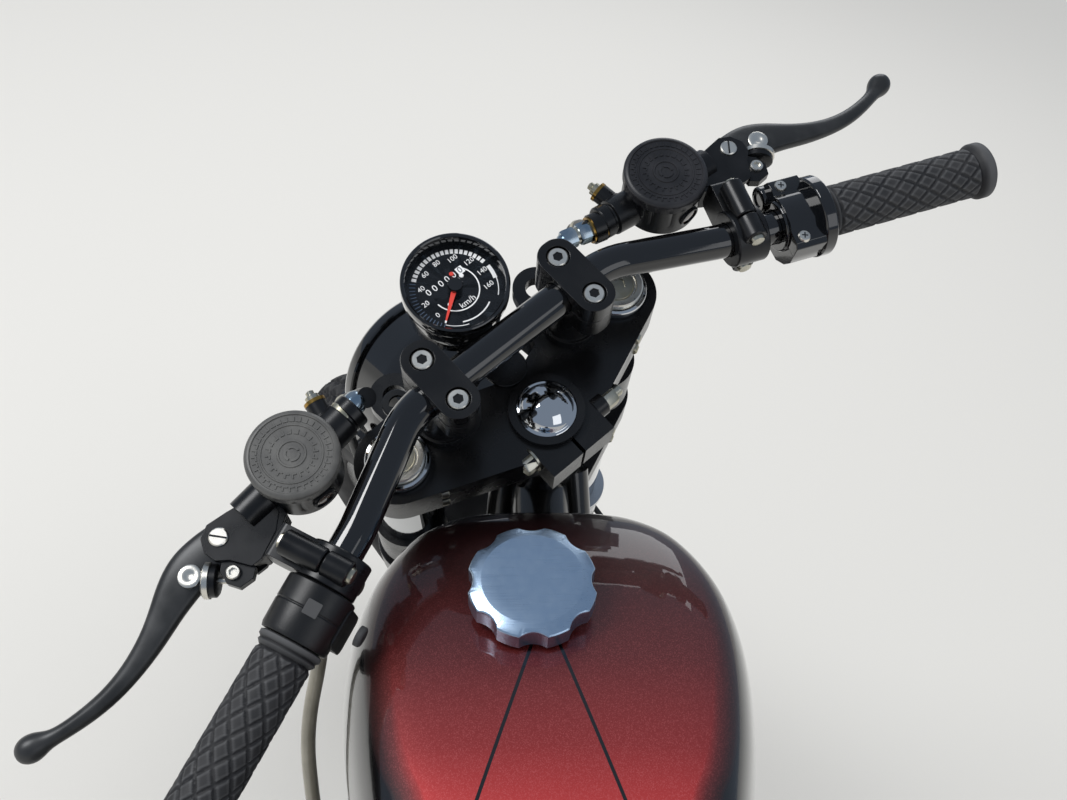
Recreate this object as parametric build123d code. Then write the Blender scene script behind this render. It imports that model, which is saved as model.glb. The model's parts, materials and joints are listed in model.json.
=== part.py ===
from build123d import *
import os
from math import acos, atan2, cos, degrees, pi, radians, sin, sqrt, tan

# A parallel-twin cafe racer, leaning on its side stand with the bars on the left stop.
# The chassis is drawn upright: X forward, Y left, Z up, ground at 0 under the rear axle.
# The steering is drawn straight ahead in its own frame, at the top of the stem:
# x across the fork to the front, y left, z up along the stem.  Millimetres.

# Geometry of the whole machine
WHEELBASE = 1400
TYRE_RADIUS = 328
RAKE = 27
AXLE_LEAD = 50
STEM_HEIGHT = 695.5
LOCK = 41
LEAN = 10

# Fits
FIT = 0.15
RUNNING = 0.5
AIR = 0.3

# Wheels: width of tyre, half width of the rim's well, spokes
FRONT_TYRE_WIDTH = 104
REAR_TYRE_WIDTH = 116
RIM_WELL_RADIUS = 212
RIM_THICKNESS = 4
BEAD_RADIUS = RIM_WELL_RADIUS + 19
RIM_LIP_RADIUS = BEAD_RADIUS + 7
FRONT_RIM_WIDTH = 66
REAR_RIM_WIDTH = 80
SPOKES = 36
SPOKE_RADIUS = 2
HUB_FLANGE_RADIUS = 46
HUB_FLANGE_THICKNESS = 5

# Front axle, brake and fork
FORK_HALF_SPACING = 94.6
FORK_OFFSET = 35
FORK_TUBE_RADIUS = 20.5
FORK_CAP_TOP = -6
SLIDER_RADIUS = 27
SLIDER_TOP = TYRE_RADIUS - STEM_HEIGHT - 57.5
FRONT_AXLE_RADIUS = 8
FRONT_HUB_HALF = 61
DISC_RADIUS = 140
DISC_THICKNESS = 5
DISC_PLANE = -48
CALIPER_REACH = 116
CALIPER_SHIFT = -4.5
CALIPER_HALF = 19.5

# Clamps and stem
STEM_RADIUS = 14
CLAMP_THICKNESS = 30
TOP_CLAMP_TOP = -15
LOWER_CLAMP_TOP = -185
STEM_BOSS_RADIUS = 30
FORK_BOSS_RADIUS = 28
DOME_NUT_RADIUS = 19.6
NUT_COLLAR_RADIUS = 25
HEAD_TUBE_RADIUS = 25
HEAD_CLEARANCE = 6

# Handlebar and what it carries
BAR_RADIUS = 11.1
BAR_X = 38
BAR_Z = 36
BAR_KNEE_Y = 80
BAR_BEND = (0, 147, 39)
BAR_END = (-69, 320, 31)
RISER_Y = 54.4
RISER_BOLT_SPACING = 33.6
RISER_WIDTH = 26
RISER_FOOT_RADIUS = 19
GRIP_RADIUS = 16.5
GRIP_FLANGE_RADIUS = 23
RESERVOIR = (55.6, 148.6, 54)
RESERVOIR_RADIUS = 27.4
LEVER_PIVOT = (51, 208, 20)
LEVER_TIP = (31.3, 356.4, -2.5)
LEVER_LINE = (
    # x, y, half width from the pivot to the ball
    (51, 208, 10), (50, 232, 11.5), (41, 253, 9), (32, 271, 7.5), (26, 290, 6.5), (24, 309, 6), (25, 327, 5.5),
    (27.5, 343, 5),
)
CYLINDER_END = (64, 100, 30)
BANJO_END = (66.7, 78, 31.4)
MIRROR_BOSS = (26, 171)
MIRROR_TOP = 42
MIRROR_THREAD_RADIUS = 4.25

# Hoses and the control cable
HOSE_START = (77, 97, 13)
HOSE_RADIUS = 3.25
BRAKE_HOSE = ((88, -100, -3), (86, -99, -80), (80, -99, -420), (70, -132, -540), (-10, -140, -600), (-48, -125, -634))
CLUTCH_HOSE = ((88, 100, -3), (86, 99, -80), (79, 98, -235), (46, 52, -312), (0, 0, -300))
SPOUT = ((-20, 196, 20), (-24, 200, -4))
CABLE_RADIUS = 4.5
CABLE_ROUTE = ((889, 146, 792), (873, 145, 745), (850, 139, 690), (792, 131, 600))
CABLE_BOSS_TOP = 436

# Instrument and lamp
DIAL = (84.5, 4, 45.5)
DIAL_RADIUS = 34.3
LAMP = (110, 0, -172)
LAMP_RADIUS = 68
LAMP_TILT = -25

# Chassis
PIVOT = (478, 0, 345)
TUBE_RADIUS = 14
RAIL_RADIUS = 12.5
BACKBONE_RADIUS = 21
RAIL_Y = 88
REAR_AXLE_RADIUS = 9
ARM_HEIGHT = 42
SHOCK_BOTTOM = (60, 137, 352)
SHOCK_TOP = (118, 139, 700)
SHOCK_RADIUS = 27
COILS = 11
CHAIN_Y = 76
CHAIN_WIDTH = 16
FRONT_SPROCKET = (548, 352)
FRONT_SPROCKET_RADIUS = 34
REAR_SPROCKET_RADIUS = 86

REARSET_Y = 123

# Engine
CASE_HALF = 115
CYLINDER_BASE = (705, 455)
CYLINDER_TILT = 12
FIN_PITCH = 11
FIN_THICKNESS = 3.5
BLOCK_FINS = 9
HEAD_FINS = 5
PORT_Y = 52
PORT_REACH = 82
PORT_Z = 137
OUTLET_RADIUS = 18

# Bodywork
TANK_TOP = 876
TANK_BOTTOM = 694
TANK_TUNNEL = (34, 838)
FILLER = (917, 11.5)
FILLER_TILT = 8.4
CAP_TOP = 898
CAP_RADIUS = 37.2
CAP_HEIGHT = 16
CAP_LOBES = 11
NECK_RADIUS = 22
SEAT_PAN_Z = 757
SEAT_PAN_THICKNESS = 10
SEAT_THICKNESS = 42
PLATE_HOLE_Y = 70
PLATE_HOLE_Z = 40
PLATE_HOLE_RADIUS = 3.5

# Side stand
STAND_PIVOT = (590, 126, 164)
STAND_LEG = (0.18, 0.62, -0.765)
STAND_SWING = 92
STAND_FOOT_RADIUS = 26
STAND_FOOT_THICKNESS = 6


# Frames of reference
lean = radians(RAKE)
STEER_X = Vector(cos(lean), 0, sin(lean))
STEER_Z = Vector(-sin(lean), 0, cos(lean))
FRONT_AXLE = Vector(WHEELBASE, 0, TYRE_RADIUS)
STEM_TOP = FRONT_AXLE - STEER_X * AXLE_LEAD + STEER_Z * STEM_HEIGHT
STRAIGHT = Plane(origin=STEM_TOP, x_dir=STEER_X, z_dir=STEER_Z).location
TURNED = STRAIGHT * Rot(Z=LOCK)
REAR_HUB = (0, 0, TYRE_RADIUS)
FRONT_HUB = (AXLE_LEAD, 0, -STEM_HEIGHT)


def spot(location, point):
    """A point carried by a location."""
    return (location * Pos(*point)).position


def rod(start, end, radius, bore=0):
    """A round bar or tube between two points."""
    way = Vector(*end) - Vector(*start)
    ring = Circle(radius) - Circle(bore) if bore else Circle(radius)
    return extrude(Plane(origin=start, z_dir=way) * ring, way.length)


def cone(start, end, radius, end_radius):
    """A tapered round bar between two points."""
    way = Vector(*end) - Vector(*start)
    blank = Cone(radius, end_radius, way.length, align=(Align.CENTER, Align.CENTER, Align.MIN))
    return Plane(origin=start, z_dir=way).location * blank


def pipe(points, corners, radius):
    """A bent tube: straight runs joined by tangent arcs."""
    path = FilletPolyline(*points, radius=corners)
    return sweep(Plane(origin=path @ 0, z_dir=path % 0) * Circle(radius), path=path)


def lathe(*profile):
    """Turn a closed outline of (radius, height) points about Z."""
    return revolve(make_face(Plane.XZ * Polyline(*profile, close=True)), Axis.Z)


def across(centre):
    """The frame of a part turned about a cross axis: its own z points left."""
    return Plane(origin=centre, x_dir=(1, 0, 0), z_dir=(0, 1, 0)).location


def side_plate(points, y, thickness, corner=0):
    """A plate with a side-view outline of (x, z) points, from y towards the left."""
    face = make_face(Polyline(*points, close=True))
    if corner:
        face = fillet(face.vertices(), corner)
    return extrude(Plane(origin=(0, y, 0), x_dir=(1, 0, 0), z_dir=(0, -1, 0)) * face, -thickness)


def strap(start, end, radius, end_radius):
    """The flat outline drawn tight round two circles."""
    way = Vector(*end) - Vector(*start)
    turn = acos((radius - end_radius) / way.length)
    base = atan2(way.Y, way.X)
    corners = []
    for centre, size, side in (
        (start, radius, 1), (end, end_radius, 1), (end, end_radius, -1), (start, radius, -1),
    ):
        angle = base + side * turn
        corners.append((centre[0] + size * cos(angle), centre[1] + size * sin(angle)))
    rim = make_face(Polyline(*corners, close=True))
    return rim + Pos(*start) * Circle(radius) + Pos(*end) * Circle(end_radius)


def both(shape):
    """A part and its mirror image across the centre plane."""
    return shape + mirror(shape, Plane.XZ)


def arc_radii(points, share=0.45):
    """Corner radii as large as the runs of a cord's route allow."""
    radii = []
    for before, here, after in zip(points, points[1:], points[2:]):
        run = Vector(*here) - Vector(*before)
        onward = Vector(*after) - Vector(*here)
        half = radians(run.get_angle(onward)) / 2
        radii.append(share * min(run.length, onward.length) / tan(half))
    return radii


# Wheels, drawn about their own axle and then carried to it

def tyre(width, rim_width):
    """A round-crowned tyre whose beads sit between the rim's lips."""
    crown = width / 2
    bead = rim_width / 2 - AIR
    wall = TYRE_RADIUS - RIM_LIP_RADIUS
    ring = TYRE_RADIUS - wall * 0.58
    flank = RIM_LIP_RADIUS + wall * 0.17
    outline = Polyline(
        (ring, -crown), (flank, -crown * 0.93), (RIM_LIP_RADIUS + 1, -bead), (BEAD_RADIUS, -bead),
        (BEAD_RADIUS, bead), (RIM_LIP_RADIUS + 1, bead), (flank, crown * 0.93), (ring, crown),
    )
    tread = ThreePointArc((ring, crown), (TYRE_RADIUS, 0), (ring, -crown))
    return revolve(make_face(Plane.XZ * (outline + tread)), Axis.Z)


def rim(width):
    lip = width / 2
    well = lip * 0.45
    seat = BEAD_RADIUS - AIR
    return lathe(
        (RIM_WELL_RADIUS, -well), (seat, -lip + 8), (seat, -lip),
        (RIM_LIP_RADIUS, -lip), (RIM_LIP_RADIUS, -lip - RIM_THICKNESS),
        (BEAD_RADIUS - 2 * RIM_THICKNESS, -lip - RIM_THICKNESS),
        (RIM_WELL_RADIUS - RIM_THICKNESS, -well), (RIM_WELL_RADIUS - RIM_THICKNESS, well),
        (BEAD_RADIUS - 2 * RIM_THICKNESS, lip + RIM_THICKNESS),
        (RIM_LIP_RADIUS, lip + RIM_THICKNESS), (RIM_LIP_RADIUS, lip),
        (seat, lip), (seat, lip - 8), (RIM_WELL_RADIUS, well),
    )


def spokes(flanges, flange_radius):
    """Crossed wire spokes from the two hub flanges to the rim's well."""
    wires = []
    for number in range(SPOKES):
        side = 1 if number % 2 else -1
        lay = 1 if number % 4 < 2 else -1
        angle = 2 * pi * number / SPOKES
        foot = angle - lay * radians(34)
        reach = RIM_WELL_RADIUS - RIM_THICKNESS - 0.8
        root = flange_radius - 4
        wires.append(rod(
            (root * cos(foot), root * sin(foot), side * flanges),
            (reach * cos(angle), reach * sin(angle), side * 4),
            SPOKE_RADIUS,
        ))
    return wires


def front_wheel():
    flange = 30
    hub = lathe(
        (FRONT_AXLE_RADIUS + RUNNING, -FRONT_HUB_HALF), (22, -FRONT_HUB_HALF), (22, -flange - 3),
        (HUB_FLANGE_RADIUS, -flange - 3), (HUB_FLANGE_RADIUS, -flange + 3), (24, -flange + 3),
        (20, 0), (24, flange - 3), (HUB_FLANGE_RADIUS, flange - 3), (HUB_FLANGE_RADIUS, flange + 3),
        (22, flange + 3), (22, FRONT_HUB_HALF), (FRONT_AXLE_RADIUS + RUNNING, FRONT_HUB_HALF),
    )
    hub = hub + spokes(flange, HUB_FLANGE_RADIUS)
    inner = DISC_PLANE - DISC_THICKNESS / 2
    disc = lathe((85, inner), (DISC_RADIUS, inner), (DISC_RADIUS, inner + DISC_THICKNESS), (85, inner + DISC_THICKNESS))
    carrier = lathe(
        (22 + FIT, inner), (90, inner), (90, inner + DISC_THICKNESS), (60, inner + DISC_THICKNESS),
        (40, -flange - 4), (22 + FIT, -flange - 4),
    )
    return {
        "front_tyre": tyre(FRONT_TYRE_WIDTH, FRONT_RIM_WIDTH),
        "front_rim": rim(FRONT_RIM_WIDTH),
        "front_hub": hub,
        "front_brake_disc": disc + carrier,
    }


def rear_wheel():
    flange = 32
    bore = REAR_AXLE_RADIUS + RUNNING
    hub = lathe(
        (bore, -58), (88, -58), (88, -flange - 4), (94, -flange - 4), (94, -flange + 2), (40, -12),
        (24, 0), (28, flange - 3), (HUB_FLANGE_RADIUS, flange - 3), (HUB_FLANGE_RADIUS, flange + 3),
        (44, flange + 3), (44, CHAIN_Y - 3), (bore, CHAIN_Y - 3),
    )
    wires = spokes(flange, HUB_FLANGE_RADIUS)
    sprocket = lathe(
        (bore, CHAIN_Y - 3), (REAR_SPROCKET_RADIUS - 6, CHAIN_Y - 3),
        (REAR_SPROCKET_RADIUS - 6, CHAIN_Y + 3), (bore, CHAIN_Y + 3),
    )
    return {
        "rear_tyre": tyre(REAR_TYRE_WIDTH, REAR_RIM_WIDTH),
        "rear_rim": rim(REAR_RIM_WIDTH),
        "rear_hub": hub + wires,
        "rear_sprocket": sprocket,
    }


# Steering

def fork_bores():
    """The bores that grip the fork tubes, from the sliders' seals to above the top clamp."""
    x, y = FORK_OFFSET, FORK_HALF_SPACING
    return both(rod((x, y, SLIDER_TOP - 60), (x, y, 10), FORK_TUBE_RADIUS + FIT))


def clamp_plate(top, lugs):
    """A fork clamp: a stem boss and two fork bosses joined by broad arms."""
    plan = Circle(STEM_BOSS_RADIUS)
    for side in (1, -1):
        leg = (FORK_OFFSET, side * FORK_HALF_SPACING)
        plan += strap((0, 0), leg, STEM_BOSS_RADIUS, FORK_BOSS_RADIUS)
        if lugs:
            plan += strap((BAR_X, side * RISER_Y), leg, 28, FORK_BOSS_RADIUS)
    return extrude(Pos(0, 0, top - CLAMP_THICKNESS) * plan, CLAMP_THICKNESS) - fork_bores()


def top_clamp():
    plate = clamp_plate(TOP_CLAMP_TOP, lugs=True)
    lug = strap((50, 58), (80, 63.5), 20, 17) - Pos(80, 63.5) * Circle(8)
    lug = extrude(Pos(0, 0, TOP_CLAMP_TOP - CLAMP_THICKNESS) * lug, 10)
    boss = Pos(-24, 0, TOP_CLAMP_TOP - 12) * Box(26, 52, 24)
    slit = Pos(-29, 0, TOP_CLAMP_TOP - 14) * Box(30, 2.5, 28)
    collar = rod((0, 0, TOP_CLAMP_TOP), (0, 0, TOP_CLAMP_TOP + 5), NUT_COLLAR_RADIUS, DOME_NUT_RADIUS + AIR)
    plate = plate + both(lug) + boss - slit + collar
    return plate - fork_bores() - rod((0, 0, -100), (0, 0, TOP_CLAMP_TOP), STEM_RADIUS + FIT)


def lower_clamp():
    plate = clamp_plate(LOWER_CLAMP_TOP, lugs=False)
    stop = Pos(-30, 0, LOWER_CLAMP_TOP - CLAMP_THICKNESS / 2) * Box(14, 30, CLAMP_THICKNESS)
    return plate + rod((0, 0, LOWER_CLAMP_TOP - CLAMP_THICKNESS), (0, 0, TOP_CLAMP_TOP), STEM_RADIUS) + stop


def stem_nut():
    base = TOP_CLAMP_TOP
    r = DOME_NUT_RADIUS
    dome = make_face(Plane.XZ * (
        Polyline((0, 0), (0, base), (r, base), (r, base + 1))
        + ThreePointArc((r, base + 1), (r * 0.72, -4.4), (1, 0)) + Line((1, 0), (0, 0))
    ))
    return revolve(dome, Axis.Z)


def fork_legs():
    x = FORK_OFFSET
    y = FORK_HALF_SPACING
    tube = rod((x, y, SLIDER_TOP - 60), (x, y, FORK_CAP_TOP - 6), FORK_TUBE_RADIUS)
    tube += rod((x, y, FORK_CAP_TOP - 6), (x, y, FORK_CAP_TOP), 17)
    axle = -STEM_HEIGHT
    slider = rod((x, y, axle - 22), (x, y, SLIDER_TOP), SLIDER_RADIUS)
    slider += rod((x, y, SLIDER_TOP), (x, y, SLIDER_TOP + 10), SLIDER_RADIUS + 3)
    slider += rod((AXLE_LEAD, y - SLIDER_RADIUS, axle), (AXLE_LEAD, y + SLIDER_RADIUS, axle), 24)
    slider -= rod((AXLE_LEAD, 0, axle), (AXLE_LEAD, 200, axle), FRONT_AXLE_RADIUS + FIT)
    sliders = both(slider)
    lug = strap((x, axle + 150), (-22, axle + 92), 16, 14) + strap((x, axle + 60), (-22, axle + 50), 16, 14)
    face = DISC_PLANE + CALIPER_SHIFT - CALIPER_HALF
    lug = extrude(Plane(origin=(0, face, 0), x_dir=(1, 0, 0), z_dir=(0, -1, 0)) * lug, FORK_HALF_SPACING + face)
    return {"fork_tubes": both(tube), "fork_sliders": sliders + lug - fork_bores()}


def front_axle():
    x, _, z = FRONT_HUB
    axle = rod((x, -138, z), (x, 130, z), FRONT_AXLE_RADIUS)
    inner = FORK_HALF_SPACING - SLIDER_RADIUS
    spacer = rod((x, FRONT_HUB_HALF + RUNNING, z), (x, inner, z), 13)
    nut = extrude(Plane(origin=(x, -FORK_HALF_SPACING - SLIDER_RADIUS, z), z_dir=(0, -1, 0)) * RegularPolygon(14, 6), 12)
    return axle + both(spacer) + nut


def brake_caliper():
    """A two-part caliper straddling the disc behind the right fork leg."""
    x, _, z = FRONT_HUB
    angle = radians(148)
    centre = (x + CALIPER_REACH * cos(angle), DISC_PLANE, z + CALIPER_REACH * sin(angle))
    frame = Plane(origin=centre, x_dir=(cos(angle), 0, sin(angle)), z_dir=(0, 1, 0)).location
    block = fillet(Box(72, 92, 2 * CALIPER_HALF).edges().filter_by(Axis.Z), 14)
    slot = Pos(-12, 0, 0) * Box(2 * (DISC_RADIUS - CALIPER_REACH) + 32, 100, DISC_THICKNESS + 4)
    return frame * (Pos(8, 0, CALIPER_SHIFT) * block - slot)


def handlebar():
    knee = (BAR_X, BAR_KNEE_Y, BAR_Z)
    bend = BAR_BEND
    end = BAR_END
    route = [flip(end), flip(bend), flip(knee), knee, bend, end]
    return pipe(route, [60, 55, 55, 60], BAR_RADIUS)


def flip(point):
    return (point[0], -point[1], point[2])


def bar_frame(distance):
    """The frame of the bar's outer straight on the left: z along it, x upwards."""
    start = Vector(*BAR_BEND)
    way = (Vector(*BAR_END) - start).normalized()
    up = (Vector(0, 0, 1) - way * way.Z).normalized()
    return Plane(origin=start + way * distance, x_dir=up, z_dir=way).location


BAR_OUTER = (Vector(*BAR_END) - Vector(*BAR_BEND)).length


def grips():
    inner = 70
    outer = BAR_OUTER + 8
    sleeve = lathe(
        (BAR_RADIUS + FIT, inner), (GRIP_FLANGE_RADIUS, inner), (GRIP_FLANGE_RADIUS, inner + 4),
        (GRIP_RADIUS, inner + 9), (GRIP_RADIUS, outer - 10), (GRIP_RADIUS + 2.5, outer - 7),
        (GRIP_RADIUS + 2.5, outer), (0, outer), (0, BAR_OUTER + AIR), (BAR_RADIUS + FIT, BAR_OUTER + AIR),
    )
    return both(bar_frame(0) * sleeve)


def bar_risers():
    """Two posts on the top clamp, each with the lower half of a two-bolt bar clamp."""
    base = TOP_CLAMP_TOP
    post = rod((BAR_X, RISER_Y, base), (BAR_X, RISER_Y, base + 8), RISER_FOOT_RADIUS)
    post += cone((BAR_X, RISER_Y, base + 8), (BAR_X, RISER_Y, 20), 17, 14)
    block = Pos(BAR_X, RISER_Y, 27) * Box(RISER_BOLT_SPACING + 24, RISER_WIDTH, 17.5)
    block = fillet(block.edges().filter_by(Axis.Z), 11)
    return both(post + block - bar_hole())


def bar_caps():
    """The upper halves: flat-topped lozenges with a counterbore round each bolt."""
    top = BAR_Z + BAR_RADIUS + 4
    height = top - BAR_Z - AIR
    block = Pos(BAR_X, RISER_Y, top - height / 2) * Box(RISER_BOLT_SPACING + 25, RISER_WIDTH, height)
    block = fillet(block.edges().filter_by(Axis.Z), 12)
    for side in (-1, 1):
        x = BAR_X + side * RISER_BOLT_SPACING / 2
        block -= rod((x, RISER_Y, top - 6), (x, RISER_Y, top + 1), 7.5)
        block += rod((x, RISER_Y, top - 7), (x, RISER_Y, top - 1), 6.5)
    return both(block - bar_hole())


def bar_hole():
    return rod((BAR_X, 0, BAR_Z), (BAR_X, 80, BAR_Z), BAR_RADIUS + FIT)


def master_cylinder():
    """Hydraulic master on the left bar: clamp, cylinder, reservoir and lever perch."""
    x, y, top = RESERVOIR
    cylinder = rod(CYLINDER_END, (53, 190, 24), 12)
    pot = rod((x, y, 18), (x, y, top - 9), RESERVOIR_RADIUS - 1.5)
    head = extrude(Pos(0, 0, 10) * strap((50, 186), LEVER_PIVOT[:2], 15, 11), 20)
    slot = extrude(Pos(0, 0, 13.5) * strap(LEVER_PIVOT[:2], (60, 260), 14, 14), 13)
    ring = bar_frame(14) * lathe(
        (BAR_RADIUS + FIT, 0), (18, 0), (18, 16), (BAR_RADIUS + FIT, 16),
    )
    arm = rod((44, 172, 26), (4, 170, 36), 9)
    arm += rod((*MIRROR_BOSS, 18), (*MIRROR_BOSS, MIRROR_TOP), 9)
    bar = bar_frame(0) * extrude(Circle(BAR_RADIUS + FIT), 60)
    bolt = rod(CYLINDER_END, BANJO_END, 6.5)
    eye = rod(CYLINDER_END, (65.4, 92, 30.6), 10) + rod((64.7, 96, 30.3), HOSE_START, 5)
    bleed = rod((60, 120, 28), (84, 116, 31), 7.5)
    thread = rod((*MIRROR_BOSS, MIRROR_TOP - 16), (*MIRROR_BOSS, MIRROR_TOP + 1), MIRROR_THREAD_RADIUS)
    return cylinder + pot + (head - slot) + ring + (arm - bar) + bolt + eye + bleed - thread


def reservoir_cap():
    x, y, top = RESERVOIR
    return rod((x, y, top - 9), (x, y, top), RESERVOIR_RADIUS)


def lever():
    """A ball-ended lever blade with its knuckle in the perch's fork."""
    start = Vector(*LEVER_PIVOT)
    way = Vector(*LEVER_TIP) - start
    reach = way.length
    up = Vector(0, 0, 1) - way * (way.Z / reach ** 2)
    frame = Plane(origin=start, x_dir=way, z_dir=up).location
    ball = frame.inverse() * Pos(*LEVER_TIP)
    blade = None
    knots = []
    for x, y, half in LEVER_LINE:
        height = LEVER_PIVOT[2] + (y - LEVER_PIVOT[1]) * way.Z / way.Y
        local = (frame.inverse() * Pos(x, y, height)).position
        knots.append((local.X, local.Y, half))
    knots.append((ball.position.X, ball.position.Y, 5))
    for first, second in zip(knots, knots[1:]):
        piece = strap(first[:2], second[:2], first[2], second[2])
        blade = piece if blade is None else blade + piece
    body = extrude(Pos(0, 0, -4.5) * blade, 9)
    return frame * body + Pos(*LEVER_TIP) * Sphere(8.5)


def switch_housing():
    box = fillet(Box(38, 42, 24).edges().filter_by(Axis.Z), 12)
    shell = bar_frame(56) * (Pos(-2, 0, 0) * box)
    spout = rod(*SPOUT, 7)
    return shell + spout - bar_frame(0) * extrude(Circle(BAR_RADIUS + FIT), 90)


def throttle_housing():
    box = fillet(Box(40, 46, 22).edges().filter_by(Axis.Z), 14)
    shell = bar_frame(53) * box + bar_frame(64) * extrude(Circle(26), 4.5)
    shell = shell - bar_frame(0) * extrude(Circle(BAR_RADIUS + FIT), 90)
    return mirror(shell, Plane.XZ)


def past(start, end, gap=AIR):
    """A point beyond the end of a fitting, where its hose begins."""
    way = Vector(*end) - Vector(*start)
    return tuple(Vector(*end) + way.normalized() * gap)


def cord(points, radius):
    return pipe(points, arc_radii(points), radius)


def brake_hose():
    """From the right master down in front of the fork leg and round it to the caliper."""
    start = flip(past((64.7, 96, 30.3), HOSE_START))
    face = DISC_PLANE + CALIPER_SHIFT - CALIPER_HALF
    x, _, z = BRAKE_HOSE[-1]
    return cord([start, *BRAKE_HOSE, (x, face - AIR, z)], HOSE_RADIUS)


def clutch_hose():
    """From the left master down beside the lamp, and up into the foot of the hollow stem."""
    start = past((64.7, 96, 30.3), HOSE_START)
    return cord([start, *CLUTCH_HOSE, (0, 0, LOWER_CLAMP_TOP - CLAMP_THICKNESS - AIR)], HOSE_RADIUS)


def control_cable():
    """From the left switch down beside the tank to the engine's left cover."""
    start = tuple(spot(TURNED, past(*SPOUT)))
    below = tuple(spot(TURNED, past(*SPOUT, 18)))
    x, y, _ = CABLE_ROUTE[-1]
    return cord([start, below, *CABLE_ROUTE, (x, y, CABLE_BOSS_TOP + AIR)], CABLE_RADIUS)


def speedometer():
    case = lathe(
        (0, 0), (DIAL_RADIUS - 3, 0), (DIAL_RADIUS - 3, 1), (DIAL_RADIUS, 1), (DIAL_RADIUS, -10),
        (DIAL_RADIUS - 3, -12), (DIAL_RADIUS - 4, -38), (22, -46), (0, -46),
    )
    return Pos(*DIAL) * Rot(Y=-3) * case


def dial_bracket():
    """The plate on the clamp that carries the instrument on a stud."""
    x, y, z = DIAL
    plate = extrude(Pos(0, 0, TOP_CLAMP_TOP) * strap((NUT_COLLAR_RADIUS + 15, 0), (x, y), 14, 14), 3)
    return plate + rod((x, y, TOP_CLAMP_TOP + 3), (x, y, z - 46 - 2 * AIR), 9)


def lamp_frame():
    return Pos(*LAMP) * Rot(Y=90 - LAMP_TILT)


def headlight_shell():
    r = LAMP_RADIUS
    return lamp_frame() * revolve(make_face(Plane.XZ * (
        Polyline((4, -62), (0, -62), (0, 30), (r, 30), (r, 0))
        + ThreePointArc((r, 0), (r * 0.78, -38), (4, -62))
    )), Axis.Z)


def headlight_lens():
    r = LAMP_RADIUS
    return lamp_frame() * revolve(make_face(Plane.XZ * (
        Polyline((4, 50), (0, 50), (0, 30), (r + 3, 30), (r + 3, 38), (r - 6, 42))
        + ThreePointArc((r - 6, 42), (r * 0.5, 48), (4, 50))
    )), Axis.Z)


def headlight_brackets():
    x, y = FORK_OFFSET, FORK_HALF_SPACING
    lamp_x, _, lamp_z = LAMP
    grip_z = LOWER_CLAMP_TOP + 40
    ring = rod((x, y, grip_z - 25), (x, y, grip_z + 25), FORK_TUBE_RADIUS + 5, FORK_TUBE_RADIUS + FIT)
    bolt_x = lamp_x + 8
    bolt_z = lamp_z - 4
    ear = strap((x, grip_z), (bolt_x, bolt_z), 18, 12)
    plate_y = LAMP_RADIUS + 6
    ear = extrude(Plane(origin=(0, plate_y, 0), x_dir=(1, 0, 0), z_dir=(0, -1, 0)) * ear, -5)
    ear -= rod((x, y, grip_z - 60), (x, y, grip_z + 60), FORK_TUBE_RADIUS + 4)
    bolt = rod((bolt_x, LAMP_RADIUS, bolt_z), (bolt_x, plate_y + 12, bolt_z), 6)
    return both(ring + ear + bolt)


def front_mudguard():
    inner = TYRE_RADIUS + 12
    half = FRONT_TYRE_WIDTH / 2 + 4
    section = make_face(Plane.XZ * (
        Polyline((inner - 14, -half), (inner - 12, -half - 2))
        + ThreePointArc((inner - 12, -half - 2), (inner + 8, 0), (inner - 12, half + 2))
        + Polyline((inner - 12, half + 2), (inner - 14, half))
        + ThreePointArc((inner - 14, half), (inner + 5, 0), (inner - 14, -half))
    ))
    guard = across(FRONT_HUB) * Rot(Z=-158) * revolve(section, Axis.Z, revolution_arc=108)
    x, y = FORK_OFFSET, FORK_HALF_SPACING
    stay = rod((x, y - 20, SLIDER_TOP - 26), (x, half - 3, inner - STEM_HEIGHT - 12), 5)
    stay -= rod((x, y, SLIDER_TOP - 90), (x, y, SLIDER_TOP), SLIDER_RADIUS)
    stay -= rod((x, y, SLIDER_TOP), (x, y, SLIDER_TOP + 10), SLIDER_RADIUS + 3 + AIR)
    return guard + both(stay)


def steering():
    parts = {
        "top_clamp": top_clamp(),
        "lower_clamp": lower_clamp(),
        "stem_nut": stem_nut(),
        "front_axle": front_axle(),
        "brake_caliper": brake_caliper(),
        "handlebar": handlebar(),
        "grips": grips(),
        "bar_risers": bar_risers(),
        "bar_caps": bar_caps(),
        "master_cylinders": both(master_cylinder()),
        "reservoir_caps": both(reservoir_cap()),
        "levers": both(lever()),
        "switch_housing": switch_housing(),
        "throttle_housing": throttle_housing(),
        "speedometer": speedometer(),
        "dial_bracket": dial_bracket(),
        "headlight_shell": headlight_shell(),
        "headlight_lens": headlight_lens(),
        "headlight_brackets": headlight_brackets(),
        "front_mudguard": front_mudguard(),
        "brake_hose": brake_hose(),
        "clutch_hose": clutch_hose(),
    }
    parts.update(fork_legs())
    return parts


# Chassis

HEAD_TOP = (0, 0, TOP_CLAMP_TOP - CLAMP_THICKNESS - HEAD_CLEARANCE)
HEAD_FOOT = (0, 0, LOWER_CLAMP_TOP + HEAD_CLEARANCE)


def head_tube(radius):
    return rod(spot(STRAIGHT, HEAD_TOP), spot(STRAIGHT, HEAD_FOOT), radius)


def crossbar():
    x, z = 545, 736
    return rod((x, -106, z), (x, 106, z), TUBE_RADIUS)


def spine():
    return pipe([(1094, 0, 808), (1000, 0, 792), (547, 0, 744)], [60], BACKBONE_RADIUS)


def frame_backbone():
    """Head tube, backbone, gusset and the cross tube behind the tank."""
    gusset = side_plate([(1098, 800), (950, 776), (1108, 768)], -3, 6)
    half = TANK_TUNNEL[0] - AIR
    pads = rod((960, -half, 787), (960, half, 787), 11)
    whole = head_tube(HEAD_TUBE_RADIUS) + spine() + gusset + pads + crossbar()
    return whole - head_tube(STEM_RADIUS + RUNNING)


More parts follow.
